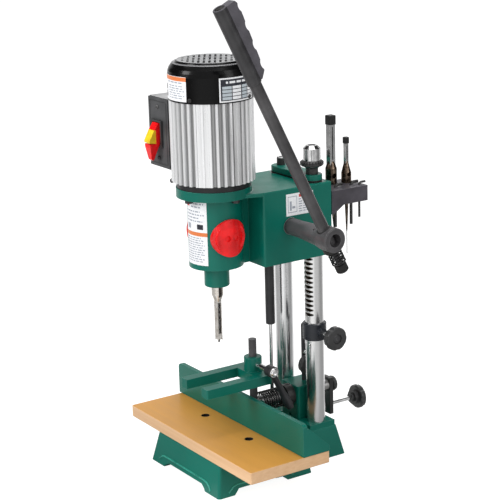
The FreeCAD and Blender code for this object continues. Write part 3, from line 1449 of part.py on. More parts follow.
sub_part("tool_holder", make_tool_holder())
sub_part("stored_chisels", group("chisel_set", [
    fuse("large_tool", [
        stored_chisel("large", d.big_tool_x, d.big_tool_y, 9.5, (478, 490), 5.3, 550.3),
        hanging_bit("large_bit", d.big_tool_x, d.big_tool_y, 4.5, 70, 1.3, 3)]),
    fuse("small_tool", [
        stored_chisel("small", d.small_tool_x, d.small_tool_y, 8.4, (468, 488), 3, 517),
        hanging_bit("small_bit", d.small_tool_x, d.small_tool_y, 0, 76, 1.1, 39)]),
    cap("large_cap", d.big_tool_x, d.big_tool_y, 6.6, 550.3, 565.5),
    cap("small_cap", d.small_tool_x, d.small_tool_y, 4.2, 517, 527.4)]))
sub_part("hex_keys", group("keys", [hex_key("large_key", 46, 202, 2.6, 386, 14),
                                    hex_key("middle_key", 46, 234, 2.6, 386, 14),
                                    hex_key("small_key", 55, 244, 2, 398, 12)]))

# ---------------------------------------------------------------- checks and files

doc.recompute()
for thing in doc.Objects:
    if "Invalid" in thing.State or "Error" in thing.State:
        raise RuntimeError("%s (%s) failed: %s" % (thing.Name, thing.Label, thing.State))
for thing in NODES:
    if thing.Shape.isNull() or not thing.Shape.isValid():
        raise RuntimeError("%s has no valid shape" % thing.Label)
for thing in NODES:
    thing.Shape.exportStep("parts/%s.step" % thing.Label)
print("%d sub-parts written" % len(NODES))
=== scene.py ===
"""Looks, camera and light for the bench hollow chisel mortiser.

Metres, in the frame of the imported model: +Z up, -Y the operator's side, +X the lever's side.
"""
import math
import random

import bpy
from mathutils import Matrix, Vector


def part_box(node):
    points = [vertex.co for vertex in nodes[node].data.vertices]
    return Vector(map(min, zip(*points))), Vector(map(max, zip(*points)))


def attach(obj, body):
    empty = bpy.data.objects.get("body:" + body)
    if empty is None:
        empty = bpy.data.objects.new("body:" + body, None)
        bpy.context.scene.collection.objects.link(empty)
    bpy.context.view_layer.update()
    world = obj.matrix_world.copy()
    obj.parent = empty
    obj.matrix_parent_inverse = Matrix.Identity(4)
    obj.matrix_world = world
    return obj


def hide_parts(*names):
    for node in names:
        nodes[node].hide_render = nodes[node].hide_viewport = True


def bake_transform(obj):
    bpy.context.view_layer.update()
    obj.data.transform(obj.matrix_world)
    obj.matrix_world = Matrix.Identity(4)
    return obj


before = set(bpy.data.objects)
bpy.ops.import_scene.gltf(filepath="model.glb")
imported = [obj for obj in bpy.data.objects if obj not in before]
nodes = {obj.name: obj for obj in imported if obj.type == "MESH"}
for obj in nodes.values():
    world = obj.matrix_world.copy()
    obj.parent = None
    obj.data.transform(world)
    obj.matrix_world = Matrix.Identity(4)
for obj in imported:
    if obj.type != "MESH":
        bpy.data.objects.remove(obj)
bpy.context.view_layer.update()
rng = random.Random(11)

# ---------------------------------------------------------------- camera and stage

CAMERA_PLACE = Vector((2.0610, -1.2853, 1.0325))
CAMERA_AZIMUTH = math.radians(56.78)
CAMERA_PITCH = math.radians(15.25)
CAMERA_ROLL = -0.0272
SENSOR_WIDTH = 36
FOCAL_LENGTH = 114.15

# Grey levels round the room, bright walls and dark gaps: share of a turn from -Y by way of -X.
ROOM_BANDS = ((0.0, 0.80), (0.07, 0.70), (0.12, 0.03), (0.22, 0.04), (0.27, 1.0), (0.42, 1.0),
              (0.48, 0.04), (0.60, 0.03), (0.66, 1.0), (0.84, 1.0), (1.0, 0.80))
ROOM_STRENGTH = 0.74
BACKDROP_STRENGTH = 1.3

# Grey levels round the floor, as metal sees it: share of a turn from -X by way of -Y.
FLOOR_CARDS = ((0.0, 0.85), (0.04, 0.80), (0.085, 0.05), (0.25, 0.05), (0.32, 0.9), (0.42, 0.9),
               (0.47, 0.40), (0.56, 0.34), (0.61, 0.05), (0.71, 0.05), (0.77, 0.90), (1.0, 0.85))
CARD_STRENGTH = 0.85
FLOOR_GLOW = 0.93
FLOOR_REACH = 14


def make_camera():
    """A long lens, from the front right and a little above."""
    azimuth, pitch, roll = CAMERA_AZIMUTH, CAMERA_PITCH, CAMERA_ROLL
    forward = Vector((-math.sin(azimuth) * math.cos(pitch),
                      math.cos(azimuth) * math.cos(pitch), -math.sin(pitch)))
    right = Vector((math.cos(azimuth), math.sin(azimuth), 0))
    up = right.cross(forward)
    rolled_right = math.cos(roll) * right + math.sin(roll) * up
    rolled_up = math.cos(roll) * up - math.sin(roll) * right
    turn = Matrix((rolled_right, rolled_up, -forward)).transposed()
    lens = bpy.data.cameras.new("camera")
    lens.sensor_width = SENSOR_WIDTH
    lens.lens = FOCAL_LENGTH
    lens.clip_start = 0.05
    lens.clip_end = 60
    camera = bpy.data.objects.new("camera", lens)
    camera.matrix_world = Matrix.Translation(CAMERA_PLACE) @ turn.to_4x4()
    bpy.context.scene.collection.objects.link(camera)
    bpy.context.scene.camera = camera


def soft_light(name, place, target, width, height, power):
    """A white rectangular studio light that faces a point."""
    panel = bpy.data.lights.new(name, "AREA")
    panel.shape = "RECTANGLE"
    panel.size = width
    panel.size_y = height
    panel.energy = power
    light = bpy.data.objects.new(name, panel)
    light.location = place
    light.rotation_mode = "QUATERNION"
    light.rotation_quaternion = (Vector(target) - Vector(place)).to_track_quat("-Z", "Y")
    bpy.context.scene.collection.objects.link(light)


def make_world():
    """A room that is plain white to the camera, and bright walls with dark gaps to all else."""
    world = bpy.data.worlds.new("studio")
    world.use_nodes = True
    tree = world.node_tree
    tree.nodes.clear()
    place = tree.nodes.new("ShaderNodeTexCoord")
    split = tree.nodes.new("ShaderNodeSeparateXYZ")
    turn = tree.nodes.new("ShaderNodeMath")
    turn.operation = "ARCTAN2"
    ramp = tree.nodes.new("ShaderNodeValToRGB")
    scale = tree.nodes.new("ShaderNodeMapRange")
    scale.inputs["From Min"].default_value = -math.pi
    scale.inputs["From Max"].default_value = math.pi
    tree.links.new(place.outputs["Generated"], split.inputs[0])
    tree.links.new(split.outputs["X"], turn.inputs[0])
    tree.links.new(split.outputs["Y"], turn.inputs[1])
    tree.links.new(turn.outputs[0], scale.inputs["Value"])
    tree.links.new(scale.outputs[0], ramp.inputs[0])
    bands = ramp.color_ramp
    while len(bands.elements) < len(ROOM_BANDS):
        bands.elements.new(0.5)
    for element, (position, level) in zip(bands.elements, ROOM_BANDS):
        element.position = position
        element.color = (level, level, level, 1)
    room = tree.nodes.new("ShaderNodeBackground")
    tree.links.new(ramp.outputs["Color"], room.inputs["Color"])
    room.inputs["Strength"].default_value = ROOM_STRENGTH
    backdrop = tree.nodes.new("ShaderNodeBackground")
    backdrop.inputs["Color"].default_value = (1, 1, 1, 1)
    backdrop.inputs["Strength"].default_value = BACKDROP_STRENGTH
    ray = tree.nodes.new("ShaderNodeLightPath")
    choose = tree.nodes.new("ShaderNodeMixShader")
    tree.links.new(ray.outputs["Is Camera Ray"], choose.inputs[0])
    tree.links.new(room.outputs[0], choose.inputs[1])
    tree.links.new(backdrop.outputs[0], choose.inputs[2])
    output = tree.nodes.new("ShaderNodeOutputWorld")
    tree.links.new(choose.outputs[0], output.inputs["Surface"])
    bpy.context.scene.world = world


make_camera()
make_world()
bpy.context.scene.view_settings.view_transform = "Standard"
bpy.context.scene.view_settings.exposure = 0.0

# ---------------------------------------------------------------- material helpers


class Look:
    """A material: a Principled shader and the nodes that drive it."""

    def __init__(self, name, colour, metallic=0.0, roughness=0.5, **sockets):
        """Start from even values; other sockets are named with _ in place of spaces."""
        self.material = bpy.data.materials.new(name)
        self.material.use_nodes = True
        self.tree = self.material.node_tree
        self.shader = self.tree.nodes["Principled BSDF"]
        self.shader.inputs["Base Color"].default_value = (*colour, 1)
        self.shader.inputs["Metallic"].default_value = metallic
        self.shader.inputs["Roughness"].default_value = roughness
        for socket, value in sockets.items():
            self.shader.inputs[socket.replace("_", " ")].default_value = value
        self.colour = colour
        self.place = self.add("TexCoord").outputs["Object"]

    def add(self, kind, **inputs):
        """A new shader node of a kind, with its inputs set or linked."""
        node = self.tree.nodes.new("ShaderNode" + kind)
        for key, value in inputs.items():
            self.feed(node.inputs[key.replace("_", " ")], value)
        return node

    def feed(self, socket, value):
        """Link a node's output to a socket, or set the socket to a plain value."""
        if isinstance(value, bpy.types.NodeSocket):
            self.tree.links.new(value, socket)
        else:
            socket.default_value = value

    def stretched(self, x, y, z):
        """The place, stretched along the axes, for grain and brush marks."""
        mapping = self.add("Mapping", Vector=self.place)
        mapping.inputs["Scale"].default_value = (x, y, z)
        return mapping.outputs["Vector"]

    def noise(self, scale, detail=3.0, place=None, rough=0.55):
        """Cloudy noise, mostly between 0.3 and 0.7."""
        made = self.add("TexNoise", Vector=place or self.place, Scale=scale, Detail=detail,
                        Roughness=rough)
        return made.outputs["Fac"]

    def ramp(self, value, *stops):
        """Colours or grey levels along a value: (position, level or colour) pairs."""
        node = self.add("ValToRGB", Fac=value)
        elements = node.color_ramp.elements
        while len(elements) < len(stops):
            elements.new(0.5)
        for element, (position, colour) in zip(elements, stops):
            element.position = position
            colour = colour if hasattr(colour, "__len__") else (colour,) * 3
            element.color = (*colour, 1)
        return node.outputs["Color"]

    def mix(self, factor, first, second, mode="MIX"):
        """Two colours, or outputs, mixed by a factor."""
        node = self.add("MixRGB", Fac=factor)
        node.blend_type = mode
        for socket, value in (("Color1", first), ("Color2", second)):
            if not isinstance(value, bpy.types.NodeSocket):
                value = (*value, 1)
            self.feed(node.inputs[socket], value)
        return node.outputs["Color"]

    def math(self, operation, first, second=0.0):
        """The result of a Math node."""
        node = self.add("Math")
        node.operation = operation
        self.feed(node.inputs[0], first)
        self.feed(node.inputs[1], second)
        return node.outputs[0]

    def radius_from(self, x, y):
        """The distance from an upright axis, for what changes with depth in a round part."""
        split = self.add("SeparateXYZ", Vector=self.place)
        across = self.math("SUBTRACT", split.outputs["X"], x)
        along = self.math("SUBTRACT", split.outputs["Y"], y)
        square = self.math("ADD", self.math("MULTIPLY", across, across),
                           self.math("MULTIPLY", along, along))
        return self.math("SQRT", square)

    def tint(self, value):
        """Drive the base colour."""
        self.feed(self.shader.inputs["Base Color"], value)
        return self

    def gloss(self, value, low, high):
        """Roughness that wanders between two values with a texture."""
        span = self.add("MapRange", Value=value, From_Min=0.3, From_Max=0.7)
        span.inputs["To Min"].default_value = low
        span.inputs["To Max"].default_value = high
        self.feed(self.shader.inputs["Roughness"], span.outputs[0])
        return self

    def bump(self, height, strength, distance, edge=0.0):
        """Surface relief; edge rounds sharp corners by that radius first."""
        relief = self.add("Bump", Height=height, Strength=strength, Distance=distance)
        if edge:
            self.feed(relief.inputs["Normal"], self.rounded(edge))
        self.feed(self.shader.inputs["Normal"], relief.outputs["Normal"])
        return self

    def rounded(self, radius):
        """The surface's normal with sharp edges rounded off by a radius."""
        softened = self.add("Bevel", Radius=radius)
        softened.samples = 4
        return softened.outputs["Normal"]

    def edges(self, radius):
        """A mask that is bright along sharp outer edges, for a lighter colour there: partly wear
        where paint wears thin, partly a painted highlight.
        """
        true_normal = self.add("NewGeometry").outputs["Normal"]
        product = self.add("VectorMath")
        product.operation = "DOT_PRODUCT"
        self.feed(product.inputs[0], self.rounded(radius))
        self.feed(product.inputs[1], true_normal)
        return self.ramp(product.outputs["Value"], (0.80, 1.0), (0.985, 0.0))


def shades(colour, *factors):
    """The same colour, darker or lighter."""
    return [tuple(min(1.0, c * factor) for c in colour) for factor in factors]


# ---------------------------------------------------------------- materials

RACK_COLUMN_X = 0.0435
RACK_COLUMN_Y = 0.1584


def green_enamel():
    """Glossy teal enamel over an iron casting: broad waves, fine orange peel, pale edges that are
    partly wear and partly a painted highlight.
    """
    look = Look("green_enamel", (0.0, 0.135, 0.098), roughness=0.34, Coat_Weight=0.06,
                Coat_Roughness=0.18, Specular_IOR_Level=0.28)
    dark, plain, pale = shades(look.colour, 0.90, 1.0, 1.10)
    cloud = look.noise(9, 3)
    colour = look.ramp(cloud, (0.34, dark), (0.5, plain), (0.68, pale))
    # Pale green along the edges: partly wear, partly a painted highlight.
    edge_wear_and_highlight = look.math("MULTIPLY", look.edges(0.0010), look.noise(60, 3))
    look.tint(look.mix(edge_wear_and_highlight, colour, (0.10, 0.36, 0.29)))
    look.gloss(look.noise(35, 4), 0.30, 0.42)
    return look.bump(look.mix(0.35, look.noise(55, 2), look.noise(420, 2)), 0.07, 0.0010, 0.0009)


def bright_aluminium():
    """Bright extruded aluminium: long streaks up the shell, and painted shade that darkens it down
    in its grooves.
    """
    look = Look("bright_aluminium", (0.93, 0.935, 0.945), metallic=0.60, roughness=0.30)
    streaks = look.noise(1, 4, look.stretched(900, 900, 9))
    bright = look.ramp(streaks, (0.35, (0.90, 0.905, 0.915)), (0.65, (0.96, 0.965, 0.97)))
    # Painted shade: the colour is darkened down in the shell's grooves.
    groove_shade = look.ramp(look.radius_from(0.0, 0.0), (0.0616, 0.30), (0.0638, 0.72), (0.0652, 1.0))
    look.tint(look.mix(1.0, bright, groove_shade, "MULTIPLY"))
    look.gloss(streaks, 0.26, 0.34)
    return look.bump(streaks, 0.02, 0.0001, 0.0004)


def gloss_black():
    """Black stove enamel on sheet steel, with soft waves, a little dust, and grey edges that are
    partly wear and partly a painted highlight.
    """
    level, rough = 0.003, 0.18
    look = Look("gloss_black", (level, level, level * 1.05), roughness=rough, Coat_Weight=0.07,
                Coat_Roughness=0.10, Specular_IOR_Level=0.12)
    dusty = look.ramp(look.noise(900, 2), (0.66, look.colour), (0.78, (0.022, 0.022, 0.022)))
    # Grey along the edges: partly wear, partly a painted highlight.
    look.tint(look.mix(look.edges(0.0008), dusty, (0.05, 0.05, 0.053)))
    look.gloss(look.noise(14, 3), rough * 0.8, rough * 1.5)
    return look.bump(look.noise(38, 2), 0.06, 0.0008, 0.0008)


def satin_dark(name, colour, rough=0.42, grain=700, depth=0.25, edge=0.0008):
    """Dark paint or oxide with a fine even grain and lighter edges, partly rubbed wear and partly a
    painted highlight.
    """
    look = Look(name, colour, roughness=rough, Specular_IOR_Level=0.38)
    dark, plain, pale = shades(colour, 0.78, 1.0, 1.35)
    cloud = look.noise(28, 5)
    base = look.ramp(cloud, (0.34, dark), (0.5, plain), (0.68, pale))
    # Lighter along the edges: partly rubbed wear, partly a painted highlight.
    look.tint(look.mix(look.edges(edge), base, shades(colour, 3.0)[0]))
    look.gloss(cloud, rough * 0.8, rough * 1.25)
    return look.bump(look.noise(grain, 3), depth, 0.0004, edge)


def ground_steel():
    """Ground round bar: very fine rings about the bar, and a few faint oil marks."""
    look = Look("ground_steel", (0.76, 0.765, 0.77), metallic=1.0, roughness=0.16)
    rings = look.noise(1, 3, look.stretched(40, 40, 1500))
    marks = look.noise(22, 5)
    tinted = look.ramp(marks, (0.36, (0.70, 0.70, 0.70)), (0.55, (0.76, 0.765, 0.77)),
                       (0.70, (0.82, 0.82, 0.83)))
    look.tint(look.mix(0.04, tinted, look.ramp(rings, (0.4, 0.60), (0.6, 0.85))))
    look.gloss(marks, 0.18, 0.23)
    return look.bump(rings, 0.002, 0.0001)


def rack_steel():
    """The toothed bar: ground outside, with oil and bronze-brown deep in the teeth."""
    look = Look("rack_steel", (0.74, 0.735, 0.73), metallic=1.0, roughness=0.18)
    rings = look.noise(1, 3, look.stretched(40, 40, 1500))
    oil = look.ramp(look.radius_from(RACK_COLUMN_X, RACK_COLUMN_Y), (0.0145, 1.0), (0.01535, 0.0))
    stained = look.mix(look.noise(240, 3), (0.055, 0.040, 0.022), (0.16, 0.12, 0.07))
    look.tint(look.mix(oil, look.ramp(rings, (0.4, 0.735), (0.6, 0.765)), stained))
    look.gloss(look.noise(22, 4), 0.20, 0.26)
    return look.bump(rings, 0.002, 0.0001, 0.0004)


def machined_steel(name="machined_steel", level=0.52, rough=0.28):
    """Turned or milled steel with fine tool marks and slight discolouring."""
    look = Look(name, (level, level, level * 1.01), metallic=1.0, roughness=rough)
    cloud = look.noise(60, 4)
    fine = look.noise(1500, 3)
    look.tint(look.ramp(cloud, (0.35, (level * 0.72, level * 0.70, level * 0.67)),
                        (0.65, (level * 1.1, level * 1.1, level * 1.12))))
    look.gloss(fine, rough * 0.75, rough * 1.35)
    return look.bump(fine, 0.10, 0.0002, 0.0005)


def polished_steel(name="polished_steel", level=0.72, rough=0.11):
    """Polished or plated steel, with faint smears."""
    look = Look(name, (level, level, level * 1.01), metallic=1.0, roughness=rough)
    cloud = look.noise(80, 3)
    look.tint(look.ramp(cloud, (0.35, shades((level,) * 3, 0.85)[0]),
                        (0.65, shades((level,) * 3, 1.12)[0])))
    look.gloss(look.noise(500, 3), rough * 0.7, rough * 1.9)
    return look.bump(cloud, 0.04, 0.0003, 0.0006)


def warm_steel():
    """The working chisel: bright ground steel with a warm cast and a fine even grain."""
    look = Look("chisel_steel", (0.74, 0.70, 0.65), metallic=0.85, roughness=0.30)
    cloud = look.noise(160, 4)
    look.tint(look.ramp(cloud, (0.35, (0.62, 0.57, 0.51)), (0.65, (0.82, 0.79, 0.75))))
    look.gloss(cloud, 0.24, 0.38)
    return look.bump(look.noise(1500, 3), 0.08, 0.0002, 0.0004)


def tinted_chisel():
    """A stored chisel's forged shank, blue-brown from heat treatment."""
    look = Look("heat_blued_steel", (0.10, 0.075, 0.06), metallic=1.0, roughness=0.26)
    cloud = look.noise(120, 4)
    look.tint(look.ramp(cloud, (0.36, (0.045, 0.035, 0.03)), (0.5, (0.12, 0.085, 0.06)),
                        (0.66, (0.26, 0.20, 0.15))))
    look.gloss(cloud, 0.18, 0.36)
    return look.bump(look.noise(900, 2), 0.10, 0.0002, 0.0005)


def board_wood():
    """A sealed tan board: faint fine grain along its length and a paler rounded edge, partly wear
    and partly a painted highlight.
    """
    look = Look("sealed_board", (0.64, 0.33, 0.072), roughness=0.40, Coat_Weight=0.14,
                Coat_Roughness=0.22, Specular_IOR_Level=0.35)
    grain = look.noise(1.0, 5, look.stretched(3, 90, 90), 0.6)
    drift = look.noise(1.0, 2, look.stretched(3.5, 5, 5))
    tone = look.ramp(look.mix(0.45, grain, drift), (0.30, (0.57, 0.262, 0.042)),
                     (0.5, (0.63, 0.298, 0.053)), (0.72, (0.69, 0.335, 0.070)))
    pores = look.noise(1.0, 2, look.stretched(60, 1500, 1500))
    pored = look.mix(look.ramp(pores, (0.62, 0.0), (0.74, 0.16)), tone, (0.40, 0.21, 0.06))
    # Paler along the edges: partly wear, partly a painted highlight.
    look.tint(look.mix(look.edges(0.0012), pored, (0.72, 0.48, 0.25)))
    look.gloss(grain, 0.36, 0.48)
    return look.bump(look.mix(0.5, grain, pores), 0.05, 0.0003, 0.0012)


def board_edge_highlight():
    """The board's side faces, painted paler as a painted highlight, with the ends of the same
    grain.
    """
    look = Look("board_edge_highlight", (0.76, 0.50, 0.29), roughness=0.48, Specular_IOR_Level=0.30)
    grain = look.noise(1.0, 5, look.stretched(4, 90, 260), 0.6)
    look.tint(look.ramp(grain, (0.32, (0.70, 0.43, 0.235)), (0.5, (0.74, 0.47, 0.265)),
                        (0.7, (0.78, 0.51, 0.295))))
    look.gloss(grain, 0.42, 0.54)
    return look.bump(grain, 0.06, 0.0003, 0.0012)


def moulded(name, colour, rough=0.42, grain=1100, depth=0.22, **sockets):
    """Injection-moulded plastic: a fine spark texture, slight flow marks, and lighter edges that
    are partly wear and partly a painted highlight.
    """
    look = Look(name, colour, roughness=rough, Specular_IOR_Level=0.36, **sockets)
    dark, plain, pale = shades(colour, 0.80, 1.0, 1.25)
    flow = look.noise(45, 3)
    base = look.ramp(flow, (0.34, dark), (0.5, plain), (0.68, pale))
    # Lighter along the edges: partly wear, partly a painted highlight.
    look.tint(look.mix(look.edges(0.0007), base, shades(colour, 1.9)[0]))
    look.gloss(flow, rough * 0.82, rough * 1.2)
    return look.bump(look.noise(grain, 2), depth, 0.0004, 0.0007)


def copper_wire():
    """Enamelled copper wire, wound in strands."""
    look = Look("enamelled_copper", (0.48, 0.17, 0.07), metallic=1.0, roughness=0.35)
    strands = look.add("TexWave", Vector=look.place, Scale=900.0, Distortion=2.0)
    look.tint(look.ramp(strands.outputs["Fac"], (0.2, (0.22, 0.07, 0.03)),
                        (0.8, (0.58, 0.24, 0.11))))
    return look.bump(strands.outputs["Fac"], 0.5, 0.0004)


def printed(name, colour, rough=0.35):
    """Vinyl or printed foil: nearly even, with a faint paper-like mottling."""
    look = Look(name, colour, roughness=rough, Specular_IOR_Level=0.3)
    mottle = look.noise(420, 3)
    dark, pale = shades(colour, 0.93, 1.04)
    look.tint(look.ramp(mottle, (0.35, dark), (0.65, pale)))
    look.gloss(mottle, rough * 0.85, rough * 1.15)
    return look.bump(look.noise(90, 2), 0.05, 0.0003)


LOOKS = {
    "green": green_enamel(),
    "aluminium": bright_aluminium(),
    "gloss_black": gloss_black(),
    "box_black": satin_dark("box_black", (0.022, 0.022, 0.024), 0.36, 900, 0.2),
    "plate_grey": satin_dark("plate_grey", (0.062, 0.063, 0.066), 0.42, 1300, 0.2),
    "shield_black": satin_dark("shield_black", (0.014, 0.014, 0.015), 0.36, 500, 0.3),
    "hub_grey": satin_dark("hub_grey", (0.060, 0.058, 0.061), 0.36, 520, 0.3, 0.0011),
    "lever_grey": satin_dark("lever_grey", (0.062, 0.060, 0.062), 0.22, 900, 0.08),
    "collar_black": satin_dark("collar_black", (0.020, 0.023, 0.030), 0.30, 700, 0.2),
    "holder_grey": satin_dark("holder_grey", (0.060, 0.055, 0.066), 0.40, 1100, 0.2),
    "oxide": satin_dark("black_oxide", (0.030, 0.029, 0.029), 0.33, 900, 0.15, 0.0004),
    "ground_steel": ground_steel(),
    "rack_steel": rack_steel(),
    "machined": machined_steel(),
    "dark_steel": machined_steel("dark_machined_steel", 0.16, 0.34),
    "polished": polished_steel(),
    "chrome": polished_steel("chrome", 0.80, 0.06),
    "stored": tinted_chisel(),
    "coil_black": satin_dark("coil_black", (0.008, 0.008, 0.009), 0.26, 900, 0.1, 0.0003),
    "cap_black": moulded("cap_black", (0.012, 0.012, 0.012), 0.5, 500, 0.5),
    "board": board_wood(),
    "board_edge_highlight": board_edge_highlight(),
    "black_plastic": moulded("black_plastic", (0.040, 0.040, 0.041), 0.34),
    "fan_plastic": moulded("fan_plastic", (0.05, 0.05, 0.053), 0.5),
    "bump_rubber": moulded("bump_rubber", (0.012, 0.012, 0.012), 0.6, 700, 0.3),
    "grip": moulded("grip_rubber", (0.036, 0.035, 0.037), 0.36, 850, 0.25),
    "red": moulded("red_plastic", (0.80, 0.006, 0.008), 0.28, 1500, 0.06, Coat_Weight=0.25),
    "yellow": moulded("yellow_plastic", (0.86, 0.56, 0.02), 0.32, 1500, 0.08,
                      Coat_Weight=0.2),
    "copper": copper_wire(),
    "bronze": machined_steel("sintered_bronze", 0.40, 0.4),
    "paper_white": printed("label_white", (0.90, 0.91, 0.93)),
    "ink": printed("label_ink", (0.030, 0.032, 0.042)),
    "ink_pale": printed("label_pale_ink", (0.36, 0.39, 0.45)),
    "cell": printed("label_cell", (0.52, 0.58, 0.62)),
    "orange_ink": printed("label_orange", (0.78, 0.22, 0.07)),
    "red_ink": printed("label_red", (0.62, 0.05, 0.04)),
    # Near-black painted shade, for holes and dark openings.
    "painted_hole_shade": moulded("painted_hole_shade", (0.006, 0.005, 0.004), 0.6),
    # Lighter grey for the switch box's top: a painted highlight where light falls on it.
    "box_top_highlight": satin_dark("box_top_highlight", (0.34, 0.34, 0.345), 0.36, 900, 0.2),
    "grille_grey": satin_dark("grille_grey", (0.26, 0.263, 0.267), 0.34, 900, 0.1),
    # Lighter grey for the grip's flat panel: partly its own finish, partly a painted highlight.
    "grip_panel": moulded("grip_panel", (0.074, 0.070, 0.082), 0.46, 850, 0.35),
    "cowl_line_highlight": satin_dark("cowl_line_highlight", (0.13, 0.13, 0.135), 0.25, 900, 0.1),
    "chisel_steel": warm_steel(),
    # A lighter green for the base's raised rim: a painted highlight.
    "rim_green_highlight": moulded("rim_green_highlight", (0.03, 0.28, 0.21), 0.30),
    "knob_insert": moulded("knob_insert", (0.036, 0.036, 0.038), 0.34),
    "border_black": moulded("border_black", (0.03, 0.03, 0.031), 0.36),
}

NODE_LOOKS = {
    "green": "base_casting tie_plate head_casting gear_cover fence slide_block hold_down_fork",
    "board": "table_board",
    "oxide": "frame_bolts head_bolts spare_chuck_sleeve spring_washer hex_keys rear_plate",
    "ground_steel": "left_column",
    "rack_steel": "rack_column",
    "bump_rubber": "bump_pad",
    "polished": "spare_chuck drill_chuck motor_bearings strut_rod",
    "chisel_steel": "chisel",
    "machined": "rotor pinion_shaft fence_bar",
    "bronze": "plain_bushes",
    "red": "right_chuck_door left_chuck_door stop_paddle",
    "yellow": "safety_key",
    "fan_plastic": "cooling_fan",
    "shield_black": "motor_lower_shield motor_upper_shield",
    "aluminium": "motor_shell",
    "copper": "stator_windings",
    "gloss_black": "fan_cover",
    "grille_grey": "fan_grille",
    "black_plastic": "cable_gland switch_mechanism stop_knob bar_knob guide_knob stop_bar_knob",
    "box_black": "switch_box stop_bar clamp_lever strut_cylinder",
    "plate_grey": "switch_plate",
    "hub_grey": "lever_hub hold_down_post",
    "lever_grey": "lever_bar",
    "cap_black": "lever_tail_nut",
    "grip": "lever_grip",
    "collar_black": "stop_collar",
    "holder_grey": "tool_holder",
    "dark_steel": "stator_core",
    "stored": "stored_chisels",
}


def paint_nodes():
    """Give each CAD node that stays in view its main material."""
    for look, names in NODE_LOOKS.items():
        for name in names.split():
            mesh = nodes[name].data
            mesh.materials.clear()
            mesh.materials.append(LOOKS[look].material)


def repaint(node, look, wanted):
    """Give the faces of a CAD node that pass a test a second material."""
    mesh = nodes[node].data
    mesh.materials.append(LOOKS[look].material)
    index = len(mesh.materials) - 1
    for face in mesh.polygons:
        if wanted(face.center, face.normal):
            face.material_index = index


paint_nodes()

# The lever's own direction, the direction square to it, and where its axis meets the hub's.
LEVER_LEAN = Vector((0, -0.4478, 0.8942))
LEVER_ACROSS = Vector((0, 0.8942, 0.4478))
HUB_CENTRE = Vector((0.164, 0.100, 0.408))
HUB_RADIUS = 0.0195
TABLE_SCREW_X = 0.0657
TABLE_SCREW_Y = 0.0094

# The smaller of the two stored chisels stands behind this.
SMALL_TOOL_FROM_Y = 0.2265

# Each test below takes a face's centre and its outward normal.


def is_stored_body(at, out):
    """The polished square blades above the shelf and the small bit's needle below it."""
    shoulder = 0.488 if at.y > SMALL_TOOL_FROM_Y else 0.490
    return at.z > shoulder or at.z < 0.370


def is_stored_slot(at, out):
    """The floor and the sides of the chip slot in each blade, painted black as painted shade inside
    the slot.
    """
    middle = 0.239 if at.y > SMALL_TOOL_FROM_Y else 0.2137
    low = 0.4895 if at.y > SMALL_TOOL_FROM_Y else 0.4915
    high = 0.5135 if at.y > SMALL_TOOL_FROM_Y else 0.5465
    return abs(at.y - middle) < 0.00105 and low < at.z < high and out.x > -0.5


def is_stored_cap(at, out):
    """The dark cap on top of each stored chisel."""
    return at.z > 0.5501 or (at.z > 0.5171 and at.y > SMALL_TOOL_FROM_Y)


def is_spring_seat(at, out):
    """The boss under the hub that the lever's spring bears on."""
    offset = at - HUB_CENTRE
    along = offset.dot(LEVER_LEAN)
    from_lever = (offset - LEVER_LEAN * along).length
    from_hub = math.hypot(offset.y, offset.z)
    return -0.0216 < along < -0.0100 and from_lever < 0.0158 and from_hub > 0.0197


def is_screw_recess(at, out):
    """The two holes in the board that its screws are sunk in, painted near-black as painted shade.
    """
    reach = math.hypot(abs(at.x) - TABLE_SCREW_X, at.y - TABLE_SCREW_Y)
    return reach < 0.00735 and at.z < 0.0693


def is_grip_panel(at, out):
    """The flat scalloped part of the grip behind its tube, painted lighter than the tube: partly
    its own finish, partly a painted highlight.
    """
    return (at - HUB_CENTRE).dot(LEVER_ACROSS) > 0.0098


def is_cowl_lip(at, out):
    """A thin ring on the cowl, round its grille, painted lighter as a painted highlight on its lip.
    """
    return 0.0545 < math.hypot(at.x, at.y) < 0.0598 and at.z > 0.6731


def is_chuck_well(at, out):
    """The spare chuck's neck and the inside of its nose."""
    reach = math.hypot(at.x - RACK_COLUMN_X, at.y - RACK_COLUMN_Y)
    return at.z < 0.4925 or (reach < 0.0066 and out.z < 0.9)


def is_clamp_stud(at, out):
    """The clamp lever's stud and, beyond its hub, the stud's head."""
    return at.x < 0.0439 or (at.x > 0.0618 and at.z > 0.158)


repaint("stored_chisels", "polished", is_stored_body)
# The chip slots are painted black: painted shade.
repaint("stored_chisels", "box_black", is_stored_slot)
repaint("stored_chisels", "cap_black", is_stored_cap)
# The guide rod, the collar's screw, the clamp's stud and the cap nut on the strap.
repaint("guide_knob", "chrome", lambda at, out: at.y < 0.2615)
repaint("stop_knob", "chrome", lambda at, out: at.x < 0.0848)
repaint("clamp_lever", "chrome", is_clamp_stud)
repaint("stop_bar", "chrome", lambda at, out: at.x > 0.0026 and at.z > 0.163)
# The tops of the tie screws, then the sunk table screws, painted near-black as painted shade in
# their holes.
repaint("frame_bolts", "polished", lambda at, out: at.y > 0.1 and at.z > 0.4935)
repaint("frame_bolts", "painted_hole_shade", lambda at, out: at.y < 0.1)
# The board's side faces are painted paler: a painted highlight.
repaint("table_board", "board_edge_highlight", lambda at, out: abs(out.z) < 0.75)
# The walls of the board's screw holes are painted near-black: painted shade.
repaint("table_board", "painted_hole_shade", is_screw_recess)
repaint("spare_chuck", "oxide", is_chuck_well)
# The top faces of the switch box are painted lighter: a painted highlight.
repaint("switch_box", "box_top_highlight", lambda at, out: out.z > 0.7 and at.z > 0.6)
repaint("lever_hub", "bump_rubber", is_spring_seat)
# The upper screw of the switch plate.
repaint("head_bolts", "dark_steel", lambda at, out: at.x < -0.1 and at.z > 0.58)
